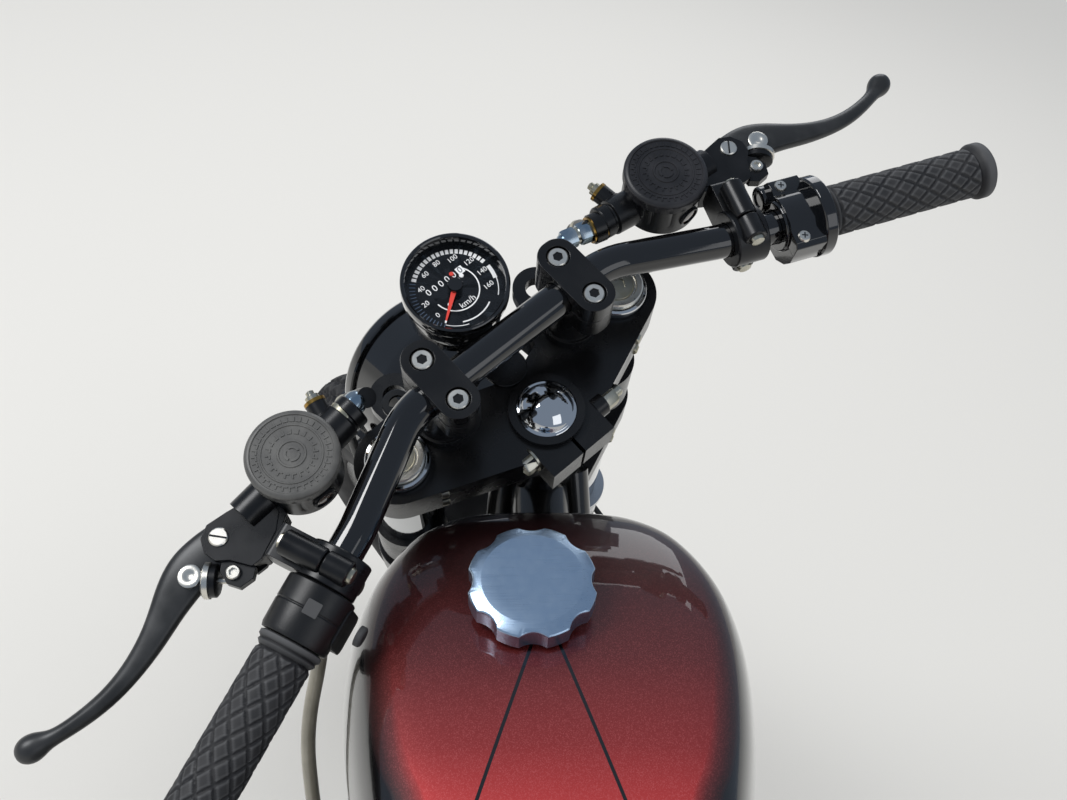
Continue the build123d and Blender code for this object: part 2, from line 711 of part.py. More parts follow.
def cradle(side):
    """One side of the engine cradle, from the head tube under the engine to the seat rails."""
    foot = 88 * side
    route = [
        (1096.5, 22 * side, 813.5), (975, 44 * side, 575), (925, 80 * side, 310), (872, foot, 175), (548, foot, 175),
        (466, 107 * side, 250), (466, 107 * side, 440), (545, 94 * side, 722),
    ]
    tube = pipe(route, [400, 150, 90, 80, 80, 120], TUBE_RADIUS)
    x, _, z = PIVOT
    boss = rod((x, 92 * side, z), (x, REARSET_Y * side, z), 22)
    frame = tube + boss
    frame -= head_tube(HEAD_TUBE_RADIUS) + crossbar() + spine()
    if side < 0:
        for x in (740, 610):
            frame += rod((x, foot, 175), (x, -foot, 175), 11)
    return frame - rod((PIVOT[0], -150, PIVOT[2]), (PIVOT[0], 150, PIVOT[2]), 9 + FIT)


def seat_rails(uprights):
    """The looped seat rails, their stays and the pins that carry the shock absorbers."""
    y = RAIL_Y
    rail_z = SEAT_PAN_Z - RAIL_RADIUS - AIR
    loop = pipe(
        [(533, y, rail_z), (-112, y, rail_z), (-112, -y, rail_z), (533, -y, rail_z)], 70, RAIL_RADIUS,
    )
    x, _, z = SHOCK_TOP
    stay = rod((466, 107, 430), (x + 10, y + 4, z + 34), 11)
    ear = side_plate([(x - 14, z - 12), (x + 14, z - 12), (x + 40, z + 40), (x - 34, z + 40)], 96, -10)
    pin = rod((x, y - 4, z), (x, SHOCK_TOP[1] + 15, z), 7)
    ties = rod((350, -y, rail_z), (350, y, rail_z), 9) + rod((430, -y, rail_z), (430, y, rail_z), 9)
    whole = loop + both(stay + ear + pin) + ties
    return whole - crossbar() - uprights


def swingarm():
    x, _, z = PIVOT
    tube = rod((x, -91, z), (x, 91, z), 18)
    plan = make_face(Polyline(
        (x, 60), (x, 86), (50, 112), (-42, 112), (-42, 87), (50, 87), (150, 80), close=True,
    ))
    arm = extrude(Pos(0, 0, z - 24) * plan, ARM_HEIGHT)
    arm = fillet(arm.edges().filter_by(Axis.Z), 8)
    low = SHOCK_BOTTOM
    pin = rod((low[0], 100, low[2]), (low[0], low[1] + 14, low[2]), 7)
    bolt = rod((x, -134, z), (x, 134, z), 9)
    whole = both(arm + pin) + tube + bolt
    return whole - rod((0, -150, TYRE_RADIUS), (0, 150, TYRE_RADIUS), REAR_AXLE_RADIUS + FIT)


def rear_axle():
    axle = rod((0, -124, TYRE_RADIUS), (0, 128, TYRE_RADIUS), REAR_AXLE_RADIUS)
    left = rod((0, CHAIN_Y + 3 + RUNNING, TYRE_RADIUS), (0, 87, TYRE_RADIUS), 15)
    plate = rod((0, -66, TYRE_RADIUS), (0, -58 - RUNNING, TYRE_RADIUS), 86)
    right = rod((0, -87, TYRE_RADIUS), (0, -66, TYRE_RADIUS), 16)
    nut = extrude(Plane(origin=(0, -112, TYRE_RADIUS), z_dir=(0, -1, 0)) * RegularPolygon(16, 6), 12)
    return axle + left + right + plate + nut


def shock():
    foot = Vector(*SHOCK_BOTTOM)
    head = Vector(*SHOCK_TOP)
    way = head - foot
    length = way.length
    frame = Plane(origin=foot, z_dir=way, x_dir=(0, 1, 0)).location
    pitch = (length - 130) / COILS
    coils = []
    for number in range(COILS):
        start = 40 + number * pitch
        coils += [(SHOCK_RADIUS - 4, start), (SHOCK_RADIUS, start + pitch * 0.3), (SHOCK_RADIUS, start + pitch * 0.6)]
    body = lathe(
        (0, 14), (15, 14), (15, 36), *coils, (SHOCK_RADIUS - 4, length - 90),
        (SHOCK_RADIUS + 2, length - 86), (SHOCK_RADIUS + 2, length - 20), (14, length - 12), (0, length - 12),
    )
    eyes = rod((-13, 0, 0), (13, 0, 0), 16) + rod((-13, 0, length), (13, 0, length), 16)
    pins = rod((-40, 0, 0), (40, 0, 0), 7 + FIT) + rod((-40, 0, length), (40, 0, length), 7 + FIT)
    return frame * (body + eyes - pins)


TANK_SECTIONS = (
    # x, half width, top, bottom, shoulder radius
    (1020, 52, 846, 752, 24),
    (1006, 76, 859, 728, 32),
    (986, 98, 867, 712, 40),
    (950, 116, 873, 700, 46),
    (905, 122, 876, 694, 48),
    (850, 117, 876, 692, 48),
    (780, 102, 873, 692, 46),
    (700, 88, 864, 694, 42),
    (630, 78, 852, 698, 38),
    (566, 68, 838, 706, 32),
)


def tank_section(x, half, top, bottom, shoulder):
    """A closed cross-section: crowned top, full flanks, narrower floor."""
    waist = bottom + (top - bottom) * 0.66
    face = make_face(Polyline(
        (-half * 0.8, bottom), (half * 0.8, bottom), (half, waist), (half * 0.88, top - 4),
        (-half * 0.88, top - 4), (-half, waist), close=True,
    ))
    corners = face.vertices()
    face = fillet([c for c in corners if c.Y < bottom + 1], half * 0.16)
    face = fillet([c for c in face.vertices() if c.Y > top - 5], shoulder * 0.6)
    return Plane(origin=(x, 0, 0), x_dir=(0, 1, 0), z_dir=(1, 0, 0)) * face


def filler_frame():
    """The filler's axis, leaning back, with its origin at the cap's underside."""
    x, y = FILLER
    return Pos(x, y, CAP_TOP) * Rot(Y=-FILLER_TILT) * Pos(0, 0, -CAP_HEIGHT)


def fuel_tank():
    shell = loft([tank_section(*row) for row in TANK_SECTIONS])
    half, top = TANK_TUNNEL
    tunnel = Pos(780, 0, (top + 600) / 2) * Box(600, 2 * half, top - 600)
    tunnel = fillet(tunnel.edges().filter_by(Axis.X), 20)
    neck = filler_frame() * rod((0, 0, -14), (0, 0, -AIR), NECK_RADIUS + 8)
    bore = filler_frame() * rod((0, 0, -26), (0, 0, 10), NECK_RADIUS)
    tab = Pos(566, 42, 754 + AIR) * Box(44, 26, 8)
    return shell - tunnel + neck - bore + both(tab)


def fuel_cap():
    """A milled cap with round scallops between its lobes, and its plug in the neck."""
    disc = Circle(CAP_RADIUS)
    scallop = CAP_RADIUS * 0.3
    for number in range(CAP_LOBES):
        angle = 2 * pi * number / CAP_LOBES
        reach = CAP_RADIUS + scallop * 0.72
        disc -= Pos(reach * cos(angle), reach * sin(angle)) * Circle(scallop)
    cap = extrude(disc, CAP_HEIGHT)
    plug = rod((0, 0, -16), (0, 0, 0), NECK_RADIUS - RUNNING)
    return filler_frame() * (cap + plug)


def seat():
    plan = make_face(Polyline((525, -68), (525, 68), (380, 98), (0, 112), (0, -112), (380, -98), close=True))
    pad = extrude(Pos(0, 0, SEAT_PAN_Z + SEAT_PAN_THICKNESS) * fillet(plan.vertices(), 24), SEAT_THICKNESS)
    return fillet(pad.faces().sort_by(Axis.Z)[-1].edges(), 14)


TAIL_SECTIONS = (
    # x, half width, top
    (-8, 108, 866),
    (-70, 98, 872),
    (-130, 72, 852),
    (-168, 40, 822),
)


def tail_cowl():
    """The seat pan with its tray edge and the hump behind the rider."""
    plan = make_face(Polyline(
        (538, -60), (538, 60), (380, 102), (0, 116), (-110, 104), (-168, 40),
        (-168, -40), (-110, -104), (0, -116), (380, -102), close=True,
    ))
    pan = extrude(Pos(0, 0, SEAT_PAN_Z) * fillet(plan.vertices(), 18), SEAT_PAN_THICKNESS)
    sections = []
    for x, half, top in TAIL_SECTIONS:
        low = SEAT_PAN_Z + SEAT_PAN_THICKNESS - 1
        face = make_face(Polyline((-half, low), (half, low), (half * 0.82, top), (-half * 0.82, top), close=True))
        face = fillet([c for c in face.vertices() if c.Y > low + 1], half * 0.4)
        sections.append(Plane(origin=(x, 0, 0), x_dir=(0, 1, 0), z_dir=(1, 0, 0)) * face)
    return pan + loft(sections)


def engine_frame():
    x, z = CYLINDER_BASE
    return Pos(x, 0, z) * Rot(Y=CYLINDER_TILT)


def crankcase(cradles):
    outline = [
        (508, 320), (535, 262), (600, 212), (800, 206), (868, 250), (888, 330), (862, 415),
        (790, 426), (640, 452), (545, 436), (508, 390),
    ]
    case = side_plate(outline, -CASE_HALF, 2 * CASE_HALF, 16)
    deck = engine_frame() * Pos(0, 0, -20) * Box(150, 206, 40)
    feet = Pos(630, 88, 200) * Box(34, 26, 40) + Pos(790, 88, 200) * Box(34, 26, 40)
    x, z = FRONT_SPROCKET
    shaft = rod((x, 50, z), (x, CHAIN_Y - 3, z), 14)
    pocket = rod((x, 62, z), (x, 120, z), 52)
    behind = Pos(480, 91, z) * Box(140, 58, 104)
    block = case + deck + both(feet)
    return block - pocket - behind - cradles + shaft


def engine_covers():
    table = (
        # side, x, z, radius, depth
        (-1, 642, 362, 78, 34),
        (-1, 800, 347, 58, 26),
        (1, 792, 352, 68, 36),
    )
    whole = None
    for side, x, z, radius, depth in table:
        cover = lathe((0, 0), (radius, 0), (radius, depth - 12), (radius - 12, depth), (0, depth))
        cover = across((x, CASE_HALF, z)) * cover
        if side < 0:
            cover = mirror(cover, Plane.XZ)
        whole = cover if whole is None else whole + cover
    x, y, _ = CABLE_ROUTE[-1]
    return whole + rod((x, y, 400), (x, y, CABLE_BOSS_TOP), 8)


def fins(count, start, length, width):
    """A stack of rounded cooling fins."""
    stack = []
    for number in range(count):
        sheet = RectangleRounded(length, width, 22)
        stack.append(extrude(Pos(0, 0, start + number * FIN_PITCH) * sheet, FIN_THICKNESS))
    return stack


def cylinder_block():
    core = Pos(0, 0, 53) * Box(112, 196, 106)
    return engine_frame() * (core + fins(BLOCK_FINS, 8, 150, 236))


def cylinder_head():
    core = Pos(0, 0, 136) * Box(120, 204, 60)
    cover = fillet((Pos(0, 0, 188) * Box(116, 196, 44)).edges(), 12)
    ports = both(rod((-PORT_REACH, PORT_Y, PORT_Z), (PORT_REACH, PORT_Y, PORT_Z), 24))
    return engine_frame() * (core + fins(HEAD_FINS, 110, 156, 240) + cover + ports)


def carburettors():
    """Two carburettors on rubber stubs, slides upright, float bowls below."""
    start = spot(engine_frame(), (-PORT_REACH, PORT_Y, PORT_Z))
    x, y, z = start.X, start.Y, start.Z
    stub = rod((x, y, z), (x - 26, y, z + 4), 21)
    body = fillet((Pos(x - 50, y, z + 6) * Box(50, 46, 50)).edges(), 6)
    tower = rod((x - 48, y, z + 20), (x - 48, y, z + 66), 19)
    bowl = rod((x - 48, y, z - 50), (x - 48, y, z - 10), 20)
    rear = rod((x - 90, y, z + 6), (x - 70, y, z + 6), 22)
    return both(stub + body + tower + bowl + rear - engine_frame() * Box(2 * PORT_REACH, 400, 600))


def air_filters():
    start = spot(engine_frame(), (-PORT_REACH, PORT_Y, PORT_Z))
    x, y, z = start.X - 90, start.Y, start.Z + 6
    return both(cone((x, y, z), (x - 64, y, z), 28, 24))


def exhaust(side):
    """A header sweeping down in front of the engine into a reverse-cone silencer."""
    port = spot(engine_frame(), (PORT_REACH, PORT_Y, PORT_Z))
    first = spot(engine_frame(), (PORT_REACH + 58, PORT_Y, PORT_Z))
    y = 163 * side
    route = [
        (port.X, port.Y * side, port.Z), (first.X, first.Y * side, first.Z), (934, 92 * side, 470),
        (908, 138 * side, 300), (832, 152 * side, 258), (440, y, 262),
    ]
    header = pipe(route, [60, 70, 90, 120], 19)
    muffler = Pos(450, y, 262) * Rot(Y=-90) * lathe(
        (0, 0), (22, 0), (40, 90), (44, 410), (24, 490), (OUTLET_RADIUS, 490), (OUTLET_RADIUS, 430), (0, 430),
    )
    face = (REARSET_Y + 6) * side
    hanger = rod((402, face, 350), (402, face + 12 * side, 350), 9)
    hanger += rod((402, face + 6 * side, 350), (398, 152 * side, 272), 6)
    return header + muffler + hanger


def drive_chain():
    """The final drive chain: two straight runs wrapped round both sprockets."""
    front = (FRONT_SPROCKET[0], FRONT_SPROCKET[1])
    rear = (0, TYRE_RADIUS)
    outside = strap(rear, front, REAR_SPROCKET_RADIUS + 5, FRONT_SPROCKET_RADIUS + 5)
    inside = strap(rear, front, REAR_SPROCKET_RADIUS - 5, FRONT_SPROCKET_RADIUS - 5)
    frame = Plane(origin=(0, CHAIN_Y + CHAIN_WIDTH / 2, 0), x_dir=(1, 0, 0), z_dir=(0, -1, 0))
    return extrude(frame * (outside - inside), CHAIN_WIDTH)


def front_sprocket():
    x, z = FRONT_SPROCKET
    disc = rod((x, CHAIN_Y - 3, z), (x, CHAIN_Y + 3, z), FRONT_SPROCKET_RADIUS - 5 - FIT)
    return disc


def rearsets():
    """Footrest plates with their pegs, the brake pedal and the gear lever."""
    plate = [(455, 318), (495, 318), (495, 372), (440, 420), (385, 405), (388, 372)]
    y = REARSET_Y
    left = side_plate(plate, y, 6, 6) + rod((410, y, 390), (410, 250, 390), 11)
    right = mirror(left, Plane.XZ)
    toe = rod((455, y + 12, 402), (550, y + 20, 398), 6) + rod((550, y + 14, 398), (550, y + 62, 398), 7)
    toe += rod((455, y, 402), (455, y + 18, 402), 8)
    bolts = rod((PIVOT[0], -150, PIVOT[2]), (PIVOT[0], 150, PIVOT[2]), 9 + FIT)
    return (left + toe) + (right + mirror(toe, Plane.XZ)) - bolts


def battery_box():
    top = SEAT_PAN_Z - RAIL_RADIUS - 9 - 2 * AIR
    return fillet((Pos(392, 0, top - 75) * Box(130, 150, 150)).edges().filter_by(Axis.Z), 14)


def tail_light():
    return lathe_x((-194 - AIR, 796), ((0, 0), (30, 0), (33, 6), (33, 26), (0, 26)))


def lathe_x(centre, profile):
    x, z = centre
    return Pos(x, 0, z) * Rot(Y=90) * lathe(*profile)


def plate_bracket():
    """A folded arm from the rear loop with the blank number plate on it."""
    arm = side_plate([(-124.6, 738), (-124.6, 748), (-219.5, 722), (-224.5, 650), (-217, 650), (-212, 717)], -14, 28)
    plate = plate_frame() * Box(3, 180, 110)
    for y in (-PLATE_HOLE_Y, PLATE_HOLE_Y):
        plate -= plate_frame() * rod((-5, y, PLATE_HOLE_Z), (5, y, PLATE_HOLE_Z), PLATE_HOLE_RADIUS)
    return arm + plate


def plate_frame():
    return Pos(-222, 0, 696) * Rot(Y=4)


# Where the machine stands: tilted on the stand until both tyres and the foot meet the ground

def tyre_low(tilt, centre, axle, width):
    """How low a round-crowned tyre reaches, from its centre and the direction of its axle."""
    middle = spot(tilt, centre)
    turned = spot(tilt, axle)
    crown = width / 2
    return middle.Z - (TYRE_RADIUS - crown) * sqrt(1 - turned.Z ** 2) - crown


front_centre = spot(TURNED, FRONT_HUB)
front_direction = spot(TURNED, (0, 1, 0)) - spot(TURNED, (0, 0, 0))
pitch = 0
for _ in range(8):
    tilt = Rot(X=-LEAN) * Rot(Y=pitch)
    rear_low = tyre_low(tilt, REAR_HUB, (0, 1, 0), REAR_TYRE_WIDTH)
    front_low = tyre_low(tilt, tuple(front_centre), tuple(front_direction), FRONT_TYRE_WIDTH)
    pitch += degrees((front_low - rear_low) / WHEELBASE)
STANDING = Pos(0, 0, -rear_low) * tilt


def side_stand():
    """The stand's leg and its foot, flat on the ground."""
    pivot = Vector(*STAND_PIVOT)
    leg = Vector(*STAND_LEG).normalized()
    top = spot(STANDING, STAND_PIVOT)
    drop = spot(tilt, tuple(leg)).Z
    reach = (top.Z - STAND_FOOT_THICKNESS - 1) / -drop
    foot = pivot + leg * reach
    world = spot(STANDING, tuple(foot))
    pad = Pos(world.X, world.Y, 0) * extrude(RectangleRounded(2 * STAND_FOOT_RADIUS, 34, 12), STAND_FOOT_THICKNESS)
    pad = STANDING.inverse() * pad
    shaft = rod(tuple(pivot), tuple(foot), 8.5)
    hinge = stand_axis()
    eye = rod(tuple(pivot - hinge * 10), tuple(pivot + hinge * 10), 15)
    return shaft + eye + pad - rod(tuple(pivot - hinge * 40), tuple(pivot + hinge * 40), 6 + RUNNING)


def stand_axis():
    folded = Vector(-0.965, 0.25, 0.06)
    return Vector(*STAND_LEG).cross(folded).normalized()


def stand_lug():
    """The lug welded under the left tube, with the stand's pivot bolt."""
    pivot = Vector(*STAND_PIVOT)
    hinge = stand_axis()
    bolt = rod(tuple(pivot - hinge * 20), tuple(pivot + hinge * 14), 6)
    start = pivot - hinge * 20
    plate = rod(tuple(start), tuple(start + hinge * (10 - AIR)), 17)
    arm = rod((STAND_PIVOT[0], 88, 175), tuple(start + hinge * 1), 7)
    return bolt + plate + arm


def machine():
    right = cradle(-1)
    left = cradle(1)
    right -= left
    left += stand_lug()
    chassis = {
        "frame_backbone": frame_backbone(),
        "frame_cradle_left": left,
        "frame_cradle_right": right,
        "seat_rails": seat_rails(left + right),
        "swingarm": swingarm(),
        "rear_axle": rear_axle(),
        "rear_shocks": both(shock()),
        "fuel_tank": fuel_tank(),
        "seat": seat(),
        "tail_cowl": tail_cowl(),
        "crankcase": crankcase(left + right),
        "engine_covers": engine_covers(),
        "cylinder_block": cylinder_block(),
        "cylinder_head": cylinder_head(),
        "carburettors": carburettors(),
        "air_filters": air_filters(),
        "exhaust_left": exhaust(1),
        "exhaust_right": exhaust(-1),
        "drive_chain": drive_chain(),
        "front_sprocket": front_sprocket(),
        "rearsets": rearsets(),
        "battery_box": battery_box(),
        "tail_light": tail_light(),
        "plate_bracket": plate_bracket(),
        "side_stand": side_stand(),
        "fuel_cap": fuel_cap(),
        "control_cable": control_cable(),
    }
    placed = {name: STANDING * shape for name, shape in chassis.items()}
    for name, shape in steering().items():
        placed[name] = STANDING * TURNED * shape
    for name, shape in front_wheel().items():
        placed[name] = STANDING * TURNED * across(FRONT_HUB) * shape
    for name, shape in rear_wheel().items():
        placed[name] = STANDING * across(REAR_HUB) * shape
    return placed


def centred(parts):
    """The shift that puts the origin under the middle of the whole machine."""
    box = parts["rear_tyre"].bounding_box()
    for shape in parts.values():
        box = box.add(shape.bounding_box())
    middle = box.center()
    return Pos(-middle.X, -middle.Y, 0)


if __name__ == "__main__":
    parts = machine()
    shift = centred(parts)
    os.makedirs("parts", exist_ok=True)
    for name, shape in parts.items():
        export_step(shift * shape, f"parts/{name}.step")
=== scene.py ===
import bpy
import bmesh
import json
from math import asin, atan2, copysign, cos, hypot, pi, radians, sin, sqrt
from mathutils import Matrix, Vector

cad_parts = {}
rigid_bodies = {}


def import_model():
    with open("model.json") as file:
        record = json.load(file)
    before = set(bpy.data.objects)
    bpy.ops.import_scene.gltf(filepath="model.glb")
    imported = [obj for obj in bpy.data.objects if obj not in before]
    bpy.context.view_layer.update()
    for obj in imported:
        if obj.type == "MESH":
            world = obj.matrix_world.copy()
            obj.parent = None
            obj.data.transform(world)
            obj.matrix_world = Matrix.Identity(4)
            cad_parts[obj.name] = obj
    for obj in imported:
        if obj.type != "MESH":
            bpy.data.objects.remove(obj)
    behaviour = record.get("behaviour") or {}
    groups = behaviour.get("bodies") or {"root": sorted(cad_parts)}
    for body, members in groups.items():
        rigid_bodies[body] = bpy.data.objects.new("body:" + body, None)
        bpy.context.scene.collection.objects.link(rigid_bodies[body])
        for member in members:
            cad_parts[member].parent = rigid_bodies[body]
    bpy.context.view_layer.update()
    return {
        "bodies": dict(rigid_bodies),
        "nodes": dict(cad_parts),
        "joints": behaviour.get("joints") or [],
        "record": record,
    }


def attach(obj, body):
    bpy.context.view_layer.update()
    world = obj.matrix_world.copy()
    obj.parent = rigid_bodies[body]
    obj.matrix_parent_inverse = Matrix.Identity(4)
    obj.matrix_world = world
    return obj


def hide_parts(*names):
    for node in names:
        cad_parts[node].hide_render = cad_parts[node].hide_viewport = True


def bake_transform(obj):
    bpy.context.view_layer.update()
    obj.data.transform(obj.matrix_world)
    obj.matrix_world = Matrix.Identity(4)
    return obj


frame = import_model()
print("frame loaded")

# Frames of the machine, from its joints: millimetres in, metres of the machine on its stand out
joints = {joint["name"]: joint for joint in frame["joints"]}
geometry = {"rake": 27, "wheelRadius": 328, "hingeBelowStem": 100}


def move(x, y, z):
    return Matrix.Translation((x, y, z))


def turn(degrees, axis):
    return Matrix.Rotation(radians(degrees), 4, axis)


def frameFrom(origin, x, y, z):
    return move(*origin) @ Matrix((x, y, z)).transposed().to_4x4() @ Matrix.Scale(0.001, 4)


stemLine, frontAxle, rearAxle = (
    Vector(joints[name]["axis"]) for name in ("steering", "front_wheel_spin", "rear_wheel_spin"))
stemTop, frontHub, rearHub = (
    Vector(joints[name]["pos_m"]) for name in ("steering", "front_wheel_spin", "rear_wheel_spin"))
stemTop += stemLine * geometry["hingeBelowStem"] / 1000
bikeUp = Matrix.Rotation(radians(geometry["rake"]), 3, rearAxle) @ stemLine
bikeForward = rearAxle.cross(bikeUp)
steerPlace = frameFrom(stemTop, frontAxle.cross(stemLine), frontAxle, stemLine)
bikePlace = frameFrom(rearHub - bikeUp * geometry["wheelRadius"] / 1000, bikeForward, rearAxle, bikeUp)
places = {
    "steering": steerPlace, "chassis": bikePlace,
    "front_wheel": frameFrom(frontHub, frontAxle.cross(stemLine), frontAxle, stemLine),
    "rear_wheel": frameFrom(rearHub, bikeForward, rearAxle, bikeUp),
}


# Colours and shader nodes
def hexColour(code):
    channels = [int(code[place:place + 2], 16) / 255 for place in (1, 3, 5)]
    return (*(c / 12.92 if c <= 0.04045 else ((c + 0.055) / 1.055) ** 2.4 for c in channels), 1.0)


# An input is given a value, a hex colour, a socket, or a node, whose first output it takes
def feed(node, inputs):
    for key, value in inputs.items():
        if isinstance(value, bpy.types.Node):
            value = value.outputs[0]
        if isinstance(value, bpy.types.NodeSocket):
            node.id_data.links.new(value, node.inputs[key])
        else:
            node.inputs[key].default_value = hexColour(value) if str(value)[0] == "#" else value


# Adds a node with its settings and links; a kind without Node in its name is a shader node
def addNode(tree, kind, inputs=None, stops=(), **settings):
    node = tree.nodes.new(kind if "Node" in kind else "ShaderNode" + kind)
    for key, value in settings.items():
        setattr(node, key, value)
    feed(node, inputs or {})
    for number, (at, code) in enumerate(stops):
        marks = node.color_ramp.elements
        mark = marks[number] if number < len(marks) else marks.new(at)
        mark.position = at
        mark.color = hexColour(code)
    return node


def newSurface(name, colour, metallic=0.0, roughness=0.5, **more):
    surfaces[name] = bpy.data.materials.new(name)
    surfaces[name].use_nodes = True
    tree = surfaces[name].node_tree
    shader = tree.nodes["Principled BSDF"]
    feed(shader, {"Base Color": colour, "Metallic": metallic, "Roughness": roughness})
    feed(shader, {key.replace("_", " "): value for key, value in more.items()})
    return tree, shader, addNode(tree, "TexCoord").outputs["Object"]


# Grain: bump of a real size in mm, and roughness and colour that wander over the surface
def weather(tree, shader, place, grain, depth, patch, smoothest, dullest, tint=None):
    fine = addNode(tree, "TexNoise", {"Vector": place, "Scale": 1000 / grain, "Detail": 4.0})
    wide = addNode(tree, "TexNoise", {"Vector": place, "Scale": 1000 / patch, "Detail": 5.0})
    feed(shader, {
        "Roughness": addNode(tree, "MapRange", {
            "Value": wide, "From Min": 0.35, "From Max": 0.68, "To Min": smoothest, "To Max": dullest}),
        "Normal": addNode(tree, "Bump", {"Height": fine, "Distance": depth / 1000}),
    })
    if tint:
        amount = addNode(tree, "MapRange", {"Value": wide, "From Min": 0.4, "From Max": 0.75})
        plain = tuple(shader.inputs["Base Color"].default_value)
        mix = addNode(tree, "Mix", {0: amount, 6: plain, 7: tint}, data_type="RGBA")
        feed(shader, {"Base Color": mix.outputs[2]})


# Finishes: common name and how it was made, with what it gives the eye
finishes = {
    # colour, metallic, grain and its depth in mm, patches in mm, least and most roughness, tint, coat
    # stove enamel on frame tubes: deep gloss with a faint orange peel
    "stoveEnamel": ("#0c0c0d", 0, 6, 0.02, 60, 0.12, 0.26, "#141312", 0.4),
    # sprayed and polished lacquer: almost a mirror
    "blackLacquer": ("#070708", 0, 9, 0.01, 90, 0.05, 0.12, None, 0.8),
    # powder coat on cast clamps: satin, fine pebble
    "powderCoat": ("#0a0a0b", 0, 1.1, 0.02, 30, 0.2, 0.32, "#101011"),
    # black anodised aluminium of the masters: satin with a grey bloom
    "blackAnodised": ("#0f1012", 0.25, 0.7, 0.012, 22, 0.26, 0.38, "#17181b"),
    # black anodised levers, tumbled until the grey shows through
    "tumbledBlack": ("#333435", 0.5, 0.7, 0.012, 18, 0.3, 0.42, "#414243"),
    # chromium plate: clear mirror
    "chromePlate": ("#d6d8da", 1, 12, 0.004, 50, 0.03, 0.1),
    # turned stainless bolt heads: bright with fine rings
    "stainlessSteel": ("#e6e2d8", 1, 0.6, 0.01, 9, 0.26, 0.36),
    # zinc plated steel: grey with a warm cast
    "zincPlate": ("#c2bfb2", 1, 1.2, 0.015, 12, 0.26, 0.4, "#a8a289"),
    # gravity-cast aluminium, bead blasted: even dull silver
    "castAluminium": ("#9b9d9e", 0.9, 1.4, 0.06, 60, 0.44, 0.56, "#919394"),
    # buffed aluminium of covers and sliders: soft mirror
    "buffedAluminium": ("#c4c6c8", 1, 3, 0.008, 35, 0.12, 0.28),
    # heat-proof black on the cylinders: matt and sandy
    "cylinderBlack": ("#131313", 0.1, 1.3, 0.06, 35, 0.45, 0.62, "#1f1e1d"),
    # black anodised rim extrusions: dark metal sheen
    "rimAnodised": ("#101012", 0.4, 2, 0.01, 60, 0.2, 0.32),
    # drawn steel wire and turned hubs: plain silver
    "hubAluminium": ("#a9abad", 1, 1.5, 0.02, 60, 0.28, 0.38),
    # oiled roller chain and hardened sprockets: brown film over steel
    "oiledSteel": ("#6e6a62", 1, 2, 0.03, 14, 0.28, 0.5, "#3a342b"),
    # wire gauze of the air filters: a coarse grey grain
    "filterGauze": ("#8d8f90", 1, 1.6, 0.35, 20, 0.35, 0.5),
    # moulded ABS of switch housings: even fine grain
    "grainedAbs": ("#0e0e0f", 0, 0.9, 0.05, 25, 0.34, 0.46),
    # moulded nylon cap of the right fluid pot: near black
    "mouldedNylon": ("#17171a", 0, 0.8, 0.03, 18, 0.35, 0.5, "#26262a"),
    # the same nylon for the left pot, painted a lighter grey as painted light because that cap stands in more light
    "satinNylon": ("#4a4a49", 0, 0.8, 0.03, 12, 0.34, 0.5, "#5b5b59"),
    # moulded window over the fluid: dark amber
    "amberGlass": ("#3a1c08", 0, 3, 0.005, 9, 0.04, 0.1, None, 0.6),
    # moulded grip rubber: dusty black
    "gripRubber": ("#1b1b1d", 0, 1.0, 0.05, 16, 0.55, 0.75, "#2b2b2d"),
    # tyre rubber: charcoal, matt, dusty on the crown
    "tyreRubber": ("#17171a", 0, 1.8, 0.1, 35, 0.6, 0.85, "#29282a"),
    # milky sheath of the control cable: grey where the cable shows through
    "clearSheath": ("#8e8a7d", 0, 3, 0.02, 25, 0.1, 0.22, "#6f6b60", 0.5),
    # screen print of the instrument: chalky white, slate behind it, and for the fine graduations a dark blue-grey that
    # is a painted shadow of the bezel
    "dialWhite": ("#e6e8ea", 0, 1, 0.004, 20, 0.5, 0.6),
    "dialSlate": ("#35414d", 0, 0.8, 0.004, 20, 0.5, 0.62),
    "dialFaint": ("#4c5f78", 0, 1, 0.004, 20, 0.5, 0.6),
    # moulded pointer and tell-tale: clear red
    "pointerRed": ("#d23b30", 0, 1, 0.004, 12, 0.35, 0.5),
    # brass seat rings and washers: yellow, a little tarnished
    "brassRing": ("#b08d4c", 1, 1, 0.01, 8, 0.2, 0.35, "#8a6a35"),
    # blued zinc of the banjo bolts: cold bright grey
    "bluedZinc": ("#8fa4b5", 1, 1, 0.01, 8, 0.12, 0.25, "#c3cbd0"),
    # seat cover of waxed hide: dark brown, shallow pores
    "waxedHide": ("#231b17", 0, 1.6, 0.18, 45, 0.42, 0.62, "#33261e"),
    # waxed linen thread: pale brown, dull
    "seatThread": ("#6f5a43", 0, 0.5, 0.05, 9, 0.6, 0.8),
    # extruded sheath of hoses and cables: plain black
    "cableSheath": ("#0f0f10", 0, 1.0, 0.02, 14, 0.35, 0.5),
    # lens acrylic, moulded in red: wet gloss
    "redAcrylic": ("#8e0d0f", 0, 5, 0.02, 30, 0.05, 0.12, None, 0.5),
    # painted blank plate: pale, a little chalky
    "plateWhite": ("#c9c9c2", 0, 2, 0.02, 40, 0.3, 0.5, "#b5b3a8"),
    # ground steel of the brake disc: grey satin
    "groundSteel": ("#a2a2a1", 1, 0.5, 0.01, 70, 0.24, 0.32),
}
surfaces = {}
